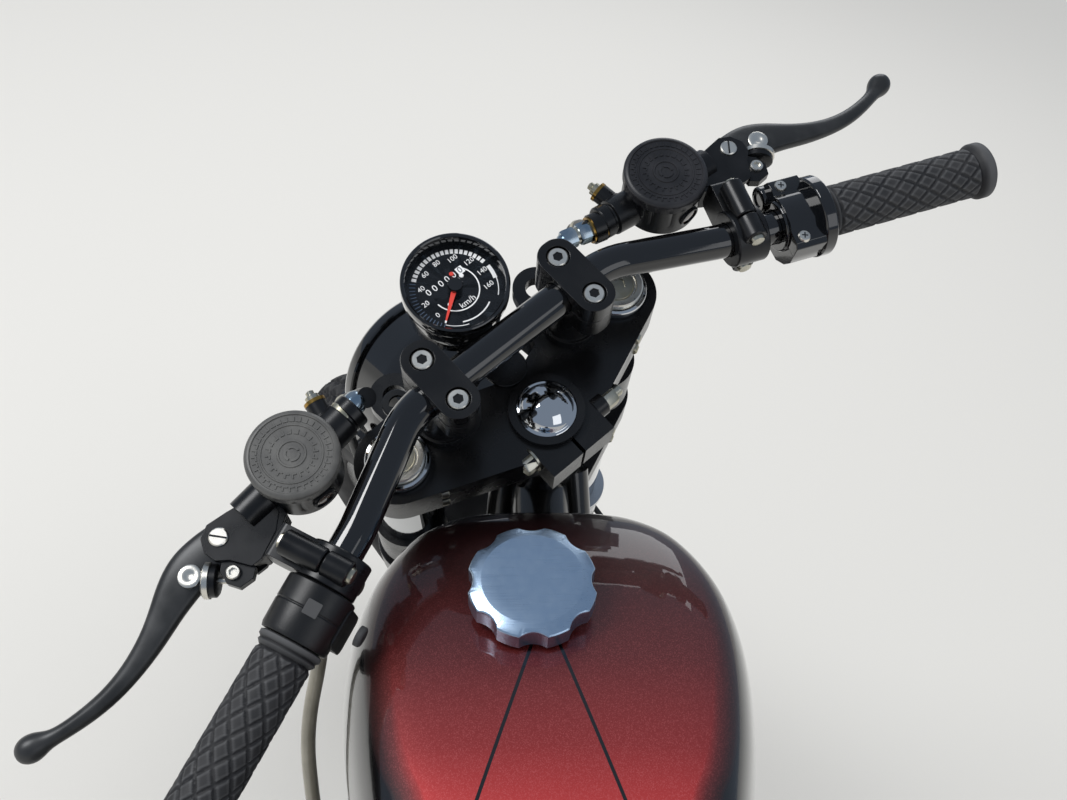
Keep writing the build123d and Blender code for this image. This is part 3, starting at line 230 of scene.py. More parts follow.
for finish, (colour, metallic, *wear) in finishes.items():
    tree, shader, place = newSurface(finish, colour, metallic)
    if len(wear) > 6:
        feed(shader, {"Coat Weight": wear.pop()})
    weather(tree, shader, place, *wear)
    if finish == "gripRubber":
        # raised edges rubbed pale by the hand
        worn = addNode(tree, "NewGeometry").outputs["Pointiness"]
        worn = addNode(tree, "MapRange", {"Value": worn, "From Min": 0.5, "From Max": 0.56})
        dusty = shader.inputs["Base Color"].links[0].from_socket
        rubbed = addNode(tree, "Mix", {0: worn, 6: dusty, 7: "#4a4b4d"}, data_type="RGBA")
        feed(shader, {"Base Color": rubbed.outputs[2]})

# Headers: blue and straw near the ports, bright chrome further on
tree, shader, place = newSurface("exhaustChrome", "#cfcdc9", 1)
weather(tree, shader, place, 8, 0.006, 70, 0.05, 0.16)
port = bikePlace @ Vector((813, 0, 572))
gap = addNode(tree, "VectorMath", {0: place, 1: port}, operation="DISTANCE").outputs["Value"]
heat = addNode(tree, "ValToRGB", {"Fac": gap}, (
    (0.07, "#5b5346"), (0.12, "#6a6d8f"), (0.17, "#a58a55"), (0.26, "#cfcdc9")))
feed(shader, {"Base Color": heat})

# Fluted glass of the lamp: clear, drawn into fine ribs
tree, shader, place = newSurface("lampGlass", "#f4f8fa", 0, 0.03, Transmission_Weight=0.75, IOR=1.45)
flute = addNode(tree, "TexWave", {"Vector": place, "Scale": 36.0, "Distortion": 0.0}).outputs["Fac"]
feed(shader, {"Normal": addNode(tree, "Bump", {"Height": flute, "Distance": 0.0006})})

# What each CAD node is made of; the pieces further down stand for many of them
nodeFinish = {
    "stoveEnamel": "frame_backbone frame_cradle_left frame_cradle_right seat_rails swingarm rear_shocks "
                   "battery_box side_stand",
    "blackLacquer": "fuel_tank tail_cowl handlebar throttle_housing speedometer headlight_shell front_mudguard",
    "powderCoat": "top_clamp lower_clamp bar_risers bar_caps dial_bracket headlight_brackets",
    "blackAnodised": "rearsets brake_caliper master_cylinders levers",
    "castAluminium": "crankcase carburettors", "buffedAluminium": "engine_covers fuel_cap fork_sliders",
    "cylinderBlack": "cylinder_block cylinder_head", "filterGauze": "air_filters",
    "exhaustChrome": "exhaust_left exhaust_right", "chromePlate": "stem_nut fork_tubes",
    "oiledSteel": "drive_chain front_sprocket rear_sprocket", "zincPlate": "rear_axle front_axle",
    "redAcrylic": "tail_light", "plateWhite": "plate_bracket", "clearSheath": "control_cable",
    "cableSheath": "brake_hose clutch_hose", "gripRubber": "seat grips", "mouldedNylon": "reservoir_caps",
    "grainedAbs": "switch_housing", "lampGlass": "headlight_lens", "tyreRubber": "front_tyre rear_tyre",
    "rimAnodised": "front_rim rear_rim", "hubAluminium": "front_hub rear_hub", "groundSteel": "front_brake_disc",
}
for finish, nodes in nodeFinish.items():
    for node in nodes.split():
        shown = frame["nodes"][node].data.materials
        shown.clear()
        shown.append(surfaces[finish])
print("finishes made")


def bareObject(name, data):
    holder = bpy.data.objects.new(name, data)
    bpy.context.scene.collection.objects.link(holder)
    return holder


# Camera at the rider's eye, given in the steering's own frame
camera = {
    "place": (-185.649, 207.565, 648.936), "lens": 37.44, "sensor": 36.0,
    "right": (-0.66146, -0.74912, 0.03673), "up": (0.69865, -0.59766, 0.39336),
}
eye = bareObject("riderEye", bpy.data.cameras.new("riderEye"))
rightway, upward = (
    (steerPlace.to_3x3() * 1000 @ Vector(camera[way])).normalized() for way in ("right", "up"))
eye.matrix_world = move(*steerPlace @ Vector(camera["place"])) @ Matrix(
    (rightway, upward, rightway.cross(upward))).transposed().to_4x4()
eye.data.lens = camera["lens"]
eye.data.sensor_width = camera["sensor"]
eye.data.clip_start = 0.02
bpy.context.scene.camera = eye

# Studio: pale floor, even sky, three soft lamps
studio = {
    "floor": "#d9d8d4", "floorSize": 70.0, "sky": "#f1f2f4", "skyPower": 0.92, "shownPower": 0.7,
    "mirrored": "#b6c6dc", "mirroredPower": 0.48, "aim": (760, 0, 640),
    # place, size, watts
    "lamps": {"keyPanel": ((0.2, 2.6, 3.4), 1.5, 72), "fillPanel": ((-2.6, -2.2, 2.4), 2.2, 15),
              "frontPanel": ((3.6, -0.6, 2.6), 1.8, 20)},
}
floorMesh = bpy.data.meshes.new("floor")
half = studio["floorSize"] / 2
floorMesh.from_pydata([(-half, -half, 0), (half, -half, 0), (half, half, 0), (-half, half, 0)], [], [(0, 1, 2, 3)])
floor = bareObject("floor", floorMesh)
newSurface("floorPaint", studio["floor"], 0, 0.85)
floorMesh.materials.append(surfaces["floorPaint"])

world = bpy.data.worlds.new("studio")
bpy.context.scene.world = world
world.use_nodes = True
sky = world.node_tree
sky.nodes.clear()
light = addNode(sky, "LightPath").outputs
seen = addNode(sky, "Math", {0: light["Is Camera Ray"], 1: light["Is Transmission Ray"]}, operation="MAXIMUM")
power = addNode(sky, "MapRange", {"Value": seen, "To Min": studio["skyPower"], "To Max": studio["shownPower"]})
power = addNode(sky, "Mix", {0: light["Is Glossy Ray"], 2: power, 3: studio["mirroredPower"]})
# what gloss and chrome mirror is a clear sky
tone = addNode(sky, "Mix", {
    0: light["Is Glossy Ray"], 6: studio["sky"], 7: studio["mirrored"]}, data_type="RGBA")
glow = addNode(sky, "Background", {"Color": tone.outputs[2], "Strength": power})
addNode(sky, "OutputWorld", {"Surface": glow})

aim = bikePlace @ Vector(studio["aim"])
for name, (place, size, watts) in studio["lamps"].items():
    lamp = bpy.data.lights.new(name, "AREA")
    lamp.size = size
    lamp.energy = watts
    holder = bareObject(name, lamp)
    holder.location = place
    holder.rotation_euler = (Vector(place) - aim).to_track_quat("Z", "Y").to_euler()
bpy.context.scene.view_settings.view_transform = "Standard"
print("studio ready")

# Shapes are drawn in millimetres in their own frame, gathered, and laid in the machine as one piece
mirrorY = Matrix.Scale(-1, 4, (0, 1, 0))
gathered = []


def add(skin, place=Matrix(), finish=0):
    gathered.append((skin, place, finish))


def addBoth(skin, place=Matrix(), finish=0):
    add(skin, place, finish)
    add(skin, mirrorY @ place, finish)


# Points closer than apart become one; facets of one plane join where flatten is set
def cleanMesh(mesh, apart=0, flatten=False):
    work = bmesh.new()
    work.from_mesh(mesh)
    if apart:
        bmesh.ops.remove_doubles(work, verts=work.verts, dist=apart)
    if flatten:
        bmesh.ops.dissolve_limit(work, angle_limit=radians(1), verts=work.verts, edges=work.edges)
    else:
        bmesh.ops.recalc_face_normals(work, faces=work.faces)
    work.to_mesh(mesh)
    work.free()


def meshOf(name, rows, place=Matrix(), apart=0):
    points, faces, marks = [], [], []
    for (corners, sides), at, finish in rows:
        faces += [tuple(len(points) + index for index in side) for side in sides]
        points += [place @ at @ Vector(corner) for corner in corners]
        marks += [finish] * len(sides)
    mesh = bpy.data.meshes.new(name)
    mesh.from_pydata(points, [], faces)
    mesh.polygons.foreach_set("material_index", marks)
    cleanMesh(mesh, apart)
    return mesh


def layPiece(name, mesh, place, body, finishes, sharp=32, replaces=None):
    mesh.transform(place)
    finishes = finishes.split()
    marks = [min(face.material_index, len(finishes) - 1) for face in mesh.polygons]
    mesh.materials.clear()
    for finish in finishes:
        mesh.materials.append(surfaces[finish])
    mesh.polygons.foreach_set("material_index", marks)
    mesh.polygons.foreach_set("use_smooth", [True] * len(marks))
    mesh.set_sharp_from_angle(angle=radians(sharp))
    piece = bareObject(name, mesh)
    if body:
        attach(piece, body)
    if replaces:
        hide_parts(replaces)
    return piece


def breakEdges(piece, width):
    edge = piece.modifiers.new("brokenEdge", "BEVEL")
    edge.width = width / 1000
    edge.segments = 2
    edge.limit_method = "ANGLE"
    edge.angle_limit = radians(38)
    edge.harden_normals = True


# Lays what was gathered since the last piece
def finishPiece(name, body, finishes, slot, sharp=32, replaces=None, place=None, bevel=0, subdivision=0):
    mesh = meshOf(name, gathered, place or places[body], 2e-6)
    gathered.clear()
    piece = layPiece(name, mesh, Matrix(), body, finishes, sharp, replaces)
    if bevel:
        breakEdges(piece, bevel)
    if subdivision:
        smoothing = piece.modifiers.new("smoothing", "SUBSURF")
        smoothing.levels = subdivision
        smoothing.render_levels = subdivision
    return piece


def circle(radius, angle):
    return radius * cos(angle), radius * sin(angle)


def fullCircle(radius, sides, level=None):
    ring = [circle(radius(2 * pi * side / sides) if callable(radius) else radius, 2 * pi * side / sides)
            for side in range(sides)]
    return ring if level is None else [(*point, level) for point in ring]


# The faces of one band between a row of points and the next
def band(row, count, above=None):
    above = row + 1 if above is None else above
    return [(row * count + number, row * count + (number + 1) % count,
             above * count + (number + 1) % count, above * count + number) for number in range(count)]


# Rings of points joined into a closed skin, with a pole in the middle of each end
def skinOf(rings, ends=True, loop=False):
    count = len(rings[0])
    points = [tuple(point) for ring in rings for point in ring]
    faces = []
    for row in range(len(rings) if loop else len(rings) - 1):
        faces += band(row, count, (row + 1) % len(rings))
    if ends and not loop:
        for row, way in ((0, -1), (len(rings) - 1, 1)):
            points.append(tuple(sum((Vector(point) for point in rings[row]), Vector()) / count))
            for column in range(count):
                pair = (row * count + column, row * count + (column + 1) % count)
                faces.append((len(points) - 1, *pair[::way]))
    return points, faces


# Pairs written as "radius height, radius height" or "x y, x y"
def pairs(steps):
    if not isinstance(steps, str):
        return list(steps)
    return [tuple(float(number) for number in step.split()) for step in steps.split(",")]


# Steps again and again, each time further out and higher up, for ribs and fins
def repeated(steps, times, reach, rise):
    return [(r + reach * turn, z + rise * turn) for turn in range(times) for r, z in pairs(steps)]


# A turned shape about z; steps that end where they start leave a bore
def turned(steps, count=48, lobes=None):
    steps = pairs(steps)
    loop = steps[0] == steps[-1]
    return skinOf([fullCircle((lambda angle: r + lobes(angle, r, z)) if lobes else r, count, z)
                   for r, z in (steps[:-1] if loop else steps)], loop=loop)


def hexagon(across, share=1.0, corner=2.0):
    return lambda angle: share * across / 2 * min(corner, 1 / cos((angle + pi / 6) % (pi / 3) - pi / 6))


# A round bolt head with a hexagon socket, its seat at z = 0
def socketHead(radius, height, across, depth):
    key = hexagon(across)
    return skinOf([fullCircle(reach, 24, level) for reach, level in (
        (radius, 0), (radius, height - 0.7), (radius - 0.7, height), (key, height), (key, height - depth))])


# A six-sided head with its corners turned off
def hexHead(across, height):
    return skinOf([fullCircle(hexagon(across, share, 1.1), 24, level)
                   for share, level in ((1, 0), (1, height * 0.8), (0.93, height))])


# An outline drawn on the plane and raised from low to high
def plank(outline, low, high):
    outline = pairs(outline)
    count = len(outline)
    points = [(*point, level) for level in (low, high) for point in outline]
    return points, [tuple(range(count - 1, -1, -1)), tuple(range(count, 2 * count)), *band(0, count)]


def rectangle(length, width):
    return [(x * length / 2, y * width / 2) for x, y in ((-1, -1), (1, -1), (1, 1), (-1, 1))]


def arc(radius, start, end, steps, x=0, y=0):
    points = [circle(radius, radians(start + (end - start) * step / steps)) for step in range(steps + 1)]
    return [(x + a, y + b) for a, b in points]


def roundedBox(length, width, corner):
    outline = []
    for x, y, start in ((1, 1, 0), (-1, 1, 90), (-1, -1, 180), (1, -1, 270)):
        outline += arc(corner, start, start + 90, 6, x * (length / 2 - corner), y * (width / 2 - corner))
    return outline


# Points on a smooth line through a few stations, each a tuple of any length
def smoothLine(stations, steps=8):
    stations = [Vector(station) for station in stations]
    line = []
    for a, b, c, d in zip(stations[:1] + stations, stations, stations[1:], stations[2:] + stations[-1:]):
        for t in (step / steps for step in range(steps)):
            line.append(0.5 * (2 * b + (c - a) * t + (2 * a - 5 * b + 4 * c - d) * t * t
                               + (3 * b - a - 3 * c + d) * t ** 3))
    return line + stations[-1:]


# A skin swept along a line; the section is (across, upward) points, or gives them for a station
def swept(line, section, up=(0, 0, 1), closed=False):
    line = [Vector(point) for point in line]
    rings = []
    for number, point in enumerate(line):
        before = line[number - 1] if number or closed else point
        after = line[(number + 1) % len(line)] if number < len(line) - 1 or closed else point
        way = (after.xyz - before.xyz).normalized()
        side = Vector(up).cross(way).normalized()
        rings.append([point.xyz + side * across + way.cross(side) * lift
                      for across, lift in (section(point) if callable(section) else section)])
    return skinOf(rings, loop=closed)


# The frame whose z runs from one point to another
def along(start, end):
    way = (Vector(end) - Vector(start)).normalized()
    return move(*start) @ way.to_track_quat("Z", "Y").to_matrix().to_4x4()


# Node trees that repeat one small unit
def newTree(name, **inputs):
    tree = bpy.data.node_groups.new(name, "GeometryNodeTree")
    for title, kind in {"Geometry": "Geometry", **inputs}.items():
        tree.interface.new_socket(title, in_out="INPUT", socket_type="NodeSocket" + kind)
    tree.interface.new_socket("Geometry", in_out="OUTPUT", socket_type="NodeSocketGeometry")
    return tree, addNode(tree, "NodeGroupInput").outputs


def closeTree(tree, given, points, facing, **more):
    unit = addNode(tree, "GeometryNodeObjectInfo", {"Object": given["unit"]}).outputs["Geometry"]
    copies = addNode(tree, "GeometryNodeInstanceOnPoints", {
        "Points": points, "Instance": unit, "Rotation": facing, **more})
    real = addNode(tree, "GeometryNodeRealizeInstances", {"Geometry": copies})
    done = addNode(tree, "GeometryNodeSetMaterial", {"Geometry": real, "Material": given["finish"]})
    addNode(tree, "NodeGroupOutput", {"Geometry": done})
    return tree


# Copies round a circle about z, each turned to face outwards
def circleTree():
    tree, given = newTree("copiesRound", unit="Object", count="Int", radius="Float", startAngle="Float",
                          stepAngle="Float", height="Float", finish="Material")
    index = addNode(tree, "GeometryNodeInputIndex")
    angle = addNode(tree, "Math", {
        0: index, 1: given["stepAngle"], 2: given["startAngle"]}, operation="MULTIPLY_ADD")
    spot = {"Z": given["height"]}
    for axis, share in (("X", "COSINE"), ("Y", "SINE")):
        share = addNode(tree, "Math", {0: angle}, operation=share)
        spot[axis] = addNode(tree, "Math", {0: share, 1: given["radius"]}, operation="MULTIPLY")
    points = addNode(tree, "GeometryNodePoints", {
        "Count": given["count"], "Position": addNode(tree, "CombineXYZ", spot)})
    outwards = addNode(tree, "CombineXYZ", {"Z": angle})
    return closeTree(tree, given, points, addNode(tree, "FunctionNodeEulerToRotation", {"Euler": outwards}))


# Copies at the points of a mesh that carries each one's turn
def spotTree():
    tree, given = newTree("copiesAtSpots", unit="Object", scale="Float", finish="Material")
    way = addNode(tree, "GeometryNodeInputNamedAttribute", {"Name": "turn"}, data_type="FLOAT_VECTOR")
    facing = addNode(tree, "FunctionNodeEulerToRotation", {"Euler": way})
    return closeTree(tree, given, given["Geometry"], facing, Scale=given["scale"])


# Copies spaced evenly along a curve, x forwards on it and z towards the given normal
def lineTree():
    tree, given = newTree("copiesAlong", unit="Object", count="Int", normal="Vector", finish="Material")
    spaced = addNode(tree, "GeometryNodeResampleCurve", {"Curve": given["Geometry"], "Count": given["count"]})
    way = addNode(tree, "GeometryNodeInputTangent")
    first = addNode(tree, "FunctionNodeAlignRotationToVector", {"Vector": way}, axis="X")
    facing = addNode(tree, "FunctionNodeAlignRotationToVector", {
        "Rotation": first, "Vector": given["normal"]}, axis="Z", pivot_axis="X")
    return closeTree(tree, given, spaced, facing)


trees = {"round": circleTree(), "spots": spotTree(), "along": lineTree()}


def plainMesh(host):
    bpy.context.view_layer.update()
    mesh = bpy.data.meshes.new_from_object(host.evaluated_get(bpy.context.evaluated_depsgraph_get()))
    bpy.data.objects.remove(host)
    return mesh


# Copies of a unit, made of skins, as one plain mesh
def grow(name, kind, skins, body, finish, slot, sharp=32, seed=None, place=None, replaces=None, **values):
    unit = bareObject(name + "Unit", meshOf(name + "Unit", [(skin, Matrix(), 0) for skin in skins]))
    values.update(unit=unit, finish=surfaces[finish])
    host = bareObject(name + "Seed", seed or bpy.data.meshes.new(name + "Seed"))
    maker = host.modifiers.new(name, "NODES")
    maker.node_group = trees[kind]
    for socket in trees[kind].interface.items_tree:
        if socket.in_out == "INPUT" and socket.name in values:
            maker[socket.identifier] = values[socket.name]
    mesh = plainMesh(host)
    bpy.data.objects.remove(unit)
    return layPiece(name, mesh, place or places[body], body, finish, sharp, replaces)


def growRing(name, skins, body, finish, slot, count, radius, start=0.0, step=None, height=0.0, **more):
    return grow(name, "round", skins, body, finish, slot, count=count, radius=radius, startAngle=start,
                stepAngle=step or 2 * pi / count, height=height, **more)


# Copies at frames whose z leaves the surface
def growSpots(name, skins, body, finish, slot, frames, **more):
    mesh = bpy.data.meshes.new(name)
    mesh.from_pydata([tuple(at.translation) for at in frames], [], [])
    ways = mesh.attributes.new("turn", "FLOAT_VECTOR", "POINT")
    for number, at in enumerate(frames):
        ways.data[number].vector = at.to_euler()
    return grow(name, "spots", skins, body, finish, slot, seed=mesh, scale=1.0, **more)


def curveThrough(name, points, kind):
    curve = bpy.data.curves.new(name, "CURVE")
    curve.dimensions = "3D"
    spline = curve.splines.new(kind)
    spline.points.add(len(points) - 1)
    for point, at in zip(spline.points, points):
        point.co = (*at, 1)
    return curve


# A machined or cast node again, with its edges broken so that they catch the light
softened = {
    # piece: node, body, finish, slot, edge in mm
    "topClampCasting": ("top_clamp", "steering", "powderCoat", "clamp_black", 1.2),
    "lowerClampCasting": ("lower_clamp", "steering", "powderCoat", "clamp_black", 1.5),
    "barRiserPosts": ("bar_risers", "steering", "powderCoat", "satin_black", 0.9),
    "barCapBlocks": ("bar_caps", "steering", "powderCoat", "satin_black", 1.0),
    "dialStrap": ("dial_bracket", "steering", "powderCoat", "satin_black", 0.6),
    "lampEars": ("headlight_brackets", "steering", "powderCoat", "satin_black", 0.8),
    "calliperBody": ("brake_caliper", "steering", "blackAnodised", "black_anodised", 1.6),
    "crankcaseCasting": ("crankcase", "chassis", "castAluminium", "cast_aluminium", 3.0),
    "polishedCovers": ("engine_covers", "chassis", "buffedAluminium", "polished_aluminium", 3.0),
    "headCasting": ("cylinder_head", "chassis", "cylinderBlack", "engine_black", 0.6),
    "carburettorBodies": ("carburettors", "chassis", "castAluminium", "cast_aluminium", 1.5),
    "rearsetPlates": ("rearsets", "chassis", "blackAnodised", "black_anodised", 0.8),
    "batteryCase": ("battery_box", "chassis", "stoveEnamel", "frame_enamel", 2.0),
}
for name, (node, body, finish, slot, width) in softened.items():
    mesh = frame["nodes"][node].data.copy()
    cleanMesh(mesh, 1e-6, flatten=True)
    if "custom_normal" in mesh.attributes:
        mesh.attributes.remove(mesh.attributes["custom_normal"])
    breakEdges(layPiece(name, mesh, Matrix(), body, finish, replaces=node), width)
print("castings made")

# Bar clamps: four stainless socket bolts in the caps' counterbores
barBolts = {"x": 38, "spacing": 33.6, "y": 54.4, "seat": 43.9, "radius": 6.55, "height": 7.0, "key": 6, "depth": 1.7}
head = socketHead(barBolts["radius"], barBolts["height"], barBolts["key"], barBolts["depth"])
growSpots("barCapBolts", [head], "steering", "stainlessSteel", "zinc_steel", [
    move(barBolts["x"] + shift * barBolts["spacing"], side * barBolts["y"], barBolts["seat"])
    for side in (-1, 1) for shift in (-0.5, 0.5)])

# Levers: forged blades with ball ends, on slotted pivot screws
lever = {
    # x, y, half width, half thickness, from the pivot to the ball
    "stations": (
        (52, 196, 4, 4), (52, 200, 10, 5.8), (51.5, 208, 13, 6.2), (51, 222, 14.6, 6.2), (50, 234, 14.4, 6.2),
        (45.5, 246, 12.4, 5.8), (40, 257, 9.8, 5.4), (33, 271, 7.8, 5.2), (26.8, 290, 6.4, 5.2),
        (24, 309, 5.6, 5.2), (25, 327, 5.0, 5.0), (27, 340, 4.6, 4.6), (28.8, 346.5, 5.4, 5.4),
        (30.2, 351, 7.6, 7.6), (31.3, 356.4, 8.6, 8.6), (32.4, 361, 7.2, 7.2), (33.2, 364, 4, 4),
    ),
    "pivotY": 208, "pivotHeight": 20, "drop": -0.1516, "squareUpTo": 280, "square": 0.72, "screw": (51, 208, 30.4),
    "stud": (45.6, 233.6, 22.8), "wheel": ((37.9, 227.4, 20), (36.5, 225.8, 20)), "lock": (29.4, 213.6, 28),
}


def leverSection(point):
    x, y, _, half, thick = point
    power = lever["square"] if y < lever["squareUpTo"] else 1.0
    return [(half * copysign(abs(c) ** power, c), thick * copysign(abs(s) ** power, s))
            for c, s in fullCircle(1, 16)]


addBoth(swept([(x, y, lever["pivotHeight"] + (y - lever["pivotY"]) * lever["drop"], half, thick)
               for x, y, half, thick in lever["stations"]], leverSection))
finishPiece("leverBlades", "steering", "tumbledBlack", "satin_black", 60, "levers", subdivision=2)

# Slotted pivot screws, the reach wheel between lever and perch, and its lock screw
addBoth(turned("5.6 -2, 5.6 0.9, 4.9 1.5, 0.9 1.5", 28), move(*lever["screw"]))
addBoth(plank(rectangle(10, 1), 1.45, 1.9), move(*lever["screw"]) @ Matrix.Rotation(0.7, 4, "Z"), 1)
addBoth(turned("6.8 -2, 6.8 0.6, 6.4 0.9, 3 0.9, 2.4 0.4", 28), move(*lever["stud"]))
reachWheel = along(*lever["wheel"])
addBoth(turned("9.2 -2, 10.6 -1.2, 10.6 1.9, 9.6 2.2, 9.6 -2, 9.2 -2", 40), reachWheel)
addBoth(turned("3 -3.4, 9.7 -1.9, 9.7 5.6, 8.4 6.6, 3 6.6", 40), reachWheel, 1)
addBoth(turned("1.9 6.6, 1.9 14", 14), reachWheel)
addBoth(socketHead(4.3, 2.4, 4.4, 1.6), move(*lever["lock"]))
finishPiece("leverScrews", "steering", "stainlessSteel blackAnodised", "zinc_steel", 40)
print("levers made")

# Grips: moulded quilt of diamonds between two flanges
grip = {"start": (0, 147, 39), "end": (-69, 320, 31), "inner": 70, "radius": 15.2, "raise": 1.5, "diamond": 15.95,
        "around": 9, "flange": 18.6, "endFlange": 18.9, "rows": 110}
barWay = Vector(grip["end"]) - Vector(grip["start"])
inner, outer = grip["inner"], barWay.length + 8
quiltStart, quiltEnd = inner + 9, outer - 10


# The frame whose z runs out along the bar, on the left for 1 and on the right for -1
def barFrame(side):
    way = barWay.normalized()
    up = (Vector((0, 0, 1)) - way * way.z).normalized()
    here = move(*grip["start"]) @ Matrix((up, way.cross(up), way)).transposed().to_4x4()
    return mirrorY @ here if side < 0 else here


def quilt(angle, radius, height):
    reach = height - quiltStart
    if reach < 0 or height > quiltEnd or radius > grip["radius"] + 0.1:
        return 0
    a, b = grip["around"] * angle / 2, pi * reach / grip["diamond"]
    ridge = min(abs(sin(a + b)), abs(sin(a - b)))
    return grip["raise"] * min(1, ridge * 2.1) ** 0.8 * min(1, reach / 2, (quiltEnd - height) / 2)


flange, end, radius = grip["flange"], grip["endFlange"], grip["radius"]
steps = [(flange - 2, inner + 0.2), (flange, inner + 1.2), (flange, inner + 3.6), (flange - 1.6, inner + 5),
         (radius + 2.4, inner + 6.5), (radius + 0.6, inner + 8.6)]
steps += [(radius, quiltStart + (quiltEnd - quiltStart) * row / grip["rows"]) for row in range(grip["rows"] + 1)]
steps += [(radius + 1, outer - 9), (end - 0.6, outer - 7), (end, outer - 6), (end, outer - 1.2),
          (end - 1.4, outer), (9, outer), (7.5, outer - 0.8)]
for side in (1, -1):
    add(turned(steps, 120, quilt), barFrame(side))
finishPiece("quiltedGrips", "steering", "gripRubber", "grip_rubber", 50, "grips")
print("grips made")

# Tank: a pressed shell over the backbone, crowned on top, with its flanks drawn in to the floor
tank = {
    # x, half width, top, floor
    "sections": (
        (1022.2, 45, 841, 757), (1021.4, 48.6, 844, 754), (1019, 53, 847, 751.5), (1006, 76, 859, 728),
        (986, 98, 867, 712), (950, 116, 873, 700), (905, 122, 876, 694), (850, 117, 876, 692), (780, 102, 873, 692),
        (700, 88, 864, 694), (630, 78, 852, 698), (568, 68.4, 839, 705.5), (566, 66, 837, 707), (565.4, 63, 834.5, 709),
    ),
    "waist": 0.66, "tunnelHalf": 34, "tunnelTop": 838,
    # share of half width, drop from the top for a 62 mm high shoulder
    "shoulder": "0 0.6, 0.3 1.4, 0.56 3.4, 0.72 6.6, 0.84 13, 0.92 25, 0.972 42, 1 62",
    # share of half width, share of the way from waist to floor
    "flank": "0.985 0.14, 0.955 0.32, 0.915 0.52, 0.87 0.72, 0.825 0.88, 0.77 0.975, 0.7 1",
}


def tankRing(x, half, top, floor):
    waist = floor + (top - floor) * tank["waist"]
    outer = [(half * share, top - drop * (top - waist) / 62) for share, drop in pairs(tank["shoulder"])]
    outer += [(half * share, waist + (floor - waist) * down) for share, down in pairs(tank["flank"])]
    wall, low, roof = tank["tunnelHalf"], floor + 3, min(tank["tunnelTop"], top - 4)
    right = [*smoothLine(outer, 4), (wall + 3, floor), (wall, low), (wall, (low + roof) / 2), (wall, roof - 14),
             (wall - 6, roof - 5), (wall - 16, roof), (0, roof)]
    return [(x, y, z) for y, z in right + [(-y, z) for y, z in right[-2:0:-1]]]


sections = tank["sections"]
stations = [*sections[:2], *smoothLine(sections[2:-2], 5), *sections[-2:]]
points, faces = skinOf([tankRing(*station) for station in stations], ends=False)
count = len(points) // len(stations)
add((points, faces + [tuple(range(count)), tuple(range(len(points) - count, len(points)))[::-1]]))
capPlace = bikePlace @ move(917, 11.5, 898) @ turn(-8.4, "Y") @ move(0, 0, -16)
neck = turned("22.4 -24, 30 -24, 30 -3.2, 28.6 -1.4, 24 -1.2, 22.4 -2, 22.4 -24", 56)
add(neck, bikePlace.inverted() @ capPlace, 1)
# seams where the halves of the shell and its floor are welded
addBoth(swept([(x, half * 0.79 + 1.2, floor + 3.5) for x, half, _, floor in stations[3:-3]],
              [(1.6 * across, 1.1 * lift) for across, lift in fullCircle(1, 8)]))

# Candy lacquer: flake in a red with painted shade that darkens it to plum in front and along its edge and painted light
# that brightens it towards the rider, a black surround and two pin stripes
candy = {
    # share of the way from x = 560 to 1030, half width of the red as a share of 128 mm
    "outline": "0 0.35, 0.09 0.41, 0.3 0.52, 0.5 0.65, 0.55 0.73, 0.617 0.797, 0.681 0.836, 0.75 0.852, 0.83 0.84, "
               "0.89 0.78, 0.934 0.68, 0.966 0.5, 0.984 0, 1 0",
    # border: how far in the painted shade along the red's edge reaches; painted shade from the first x forwards,
    # painted light from the second x back; the red's tones run from painted shade to painted highlight
    "start": 560.0, "end": 1030.0, "half": 128.0, "low": 829.0, "soft": 3.0, "border": 17.0,
    "paintedShadeFrom": 1000.0, "paintedLightFrom": 735.0,
    "paintedLightShades": ((0.0, "#1a090c"), (0.2, "#34100f"), (0.45, "#5a1615"), (0.66, "#8a1f1e"), (0.85, "#c83534"),
               (1.0, "#e84a48")),
    "stripeHalf": 1.15, "stripeStart": 905.0, "stripes": ((888.0, 12.0, -0.316), (887.0, -4.0, 0.311)),
}
tree, shader, place = newSurface(
    "candyLacquer", "#6b1719", 0.0, 0.2, Coat_Weight=1.0, Coat_Roughness=0.03, Coat_IOR=1.5)


# Where a frame's millimetres lie on a piece, for a pattern drawn in that frame
def lying(frame, *scale):
    return {"Vector": place, "Location": frame.translation,
            "Rotation": frame.to_3x3().normalized().to_euler(), "Scale": scale}


inBike = addNode(tree, "Mapping", lying(bikePlace, 0.001, 0.001, 0.001), vector_type="TEXTURE")
split = addNode(tree, "SeparateXYZ", {0: inBike}).outputs
share = addNode(tree, "MapRange", {"Value": split["X"], "From Min": candy["start"], "From Max": candy["end"]})
curve = addNode(tree, "FloatCurve", {"Value": share})
edge = curve.mapping.curves[0].points
outline = pairs(candy["outline"])
while len(edge) < len(outline):
    edge.new(0.5, 0.5)
for point, at in zip(edge, outline):
    point.location = at
    point.handle_type = "AUTO_CLAMPED"
curve.mapping.update()
half = addNode(tree, "Math", {0: curve, 1: candy["half"]}, operation="MULTIPLY")
outward = addNode(tree, "Math", {0: split["Y"]}, operation="ABSOLUTE")
spare = addNode(tree, "Math", {0: half, 1: outward}, operation="SUBTRACT")
inside = addNode(tree, "MapRange", {"Value": spare, "From Min": 0.0, "From Max": candy["soft"]})
above = addNode(tree, "MapRange", {
    "Value": split["Z"], "From Min": candy["low"], "From Max": candy["low"] + candy["soft"]})
red = addNode(tree, "Math", {0: inside, 1: above}, operation="MULTIPLY")
# painted shade: plum at the border and in front; painted light: bright candy red towards the rider
border = addNode(tree, "MapRange", {"Value": spare, "From Min": 0.0, "From Max": candy["border"]})
paintedLightRearward = addNode(tree, "MapRange", {
    "Value": split["X"], "From Min": candy["paintedShadeFrom"], "From Max": candy["paintedLightFrom"]})
# how lit the red is painted: 0 in the darkest painted shade, 1 in the brightest painted light
depth = addNode(tree, "Math", {0: border, 1: paintedLightRearward}, operation="MULTIPLY")
shade = addNode(tree, "ValToRGB", {"Fac": depth}, candy["paintedLightShades"])
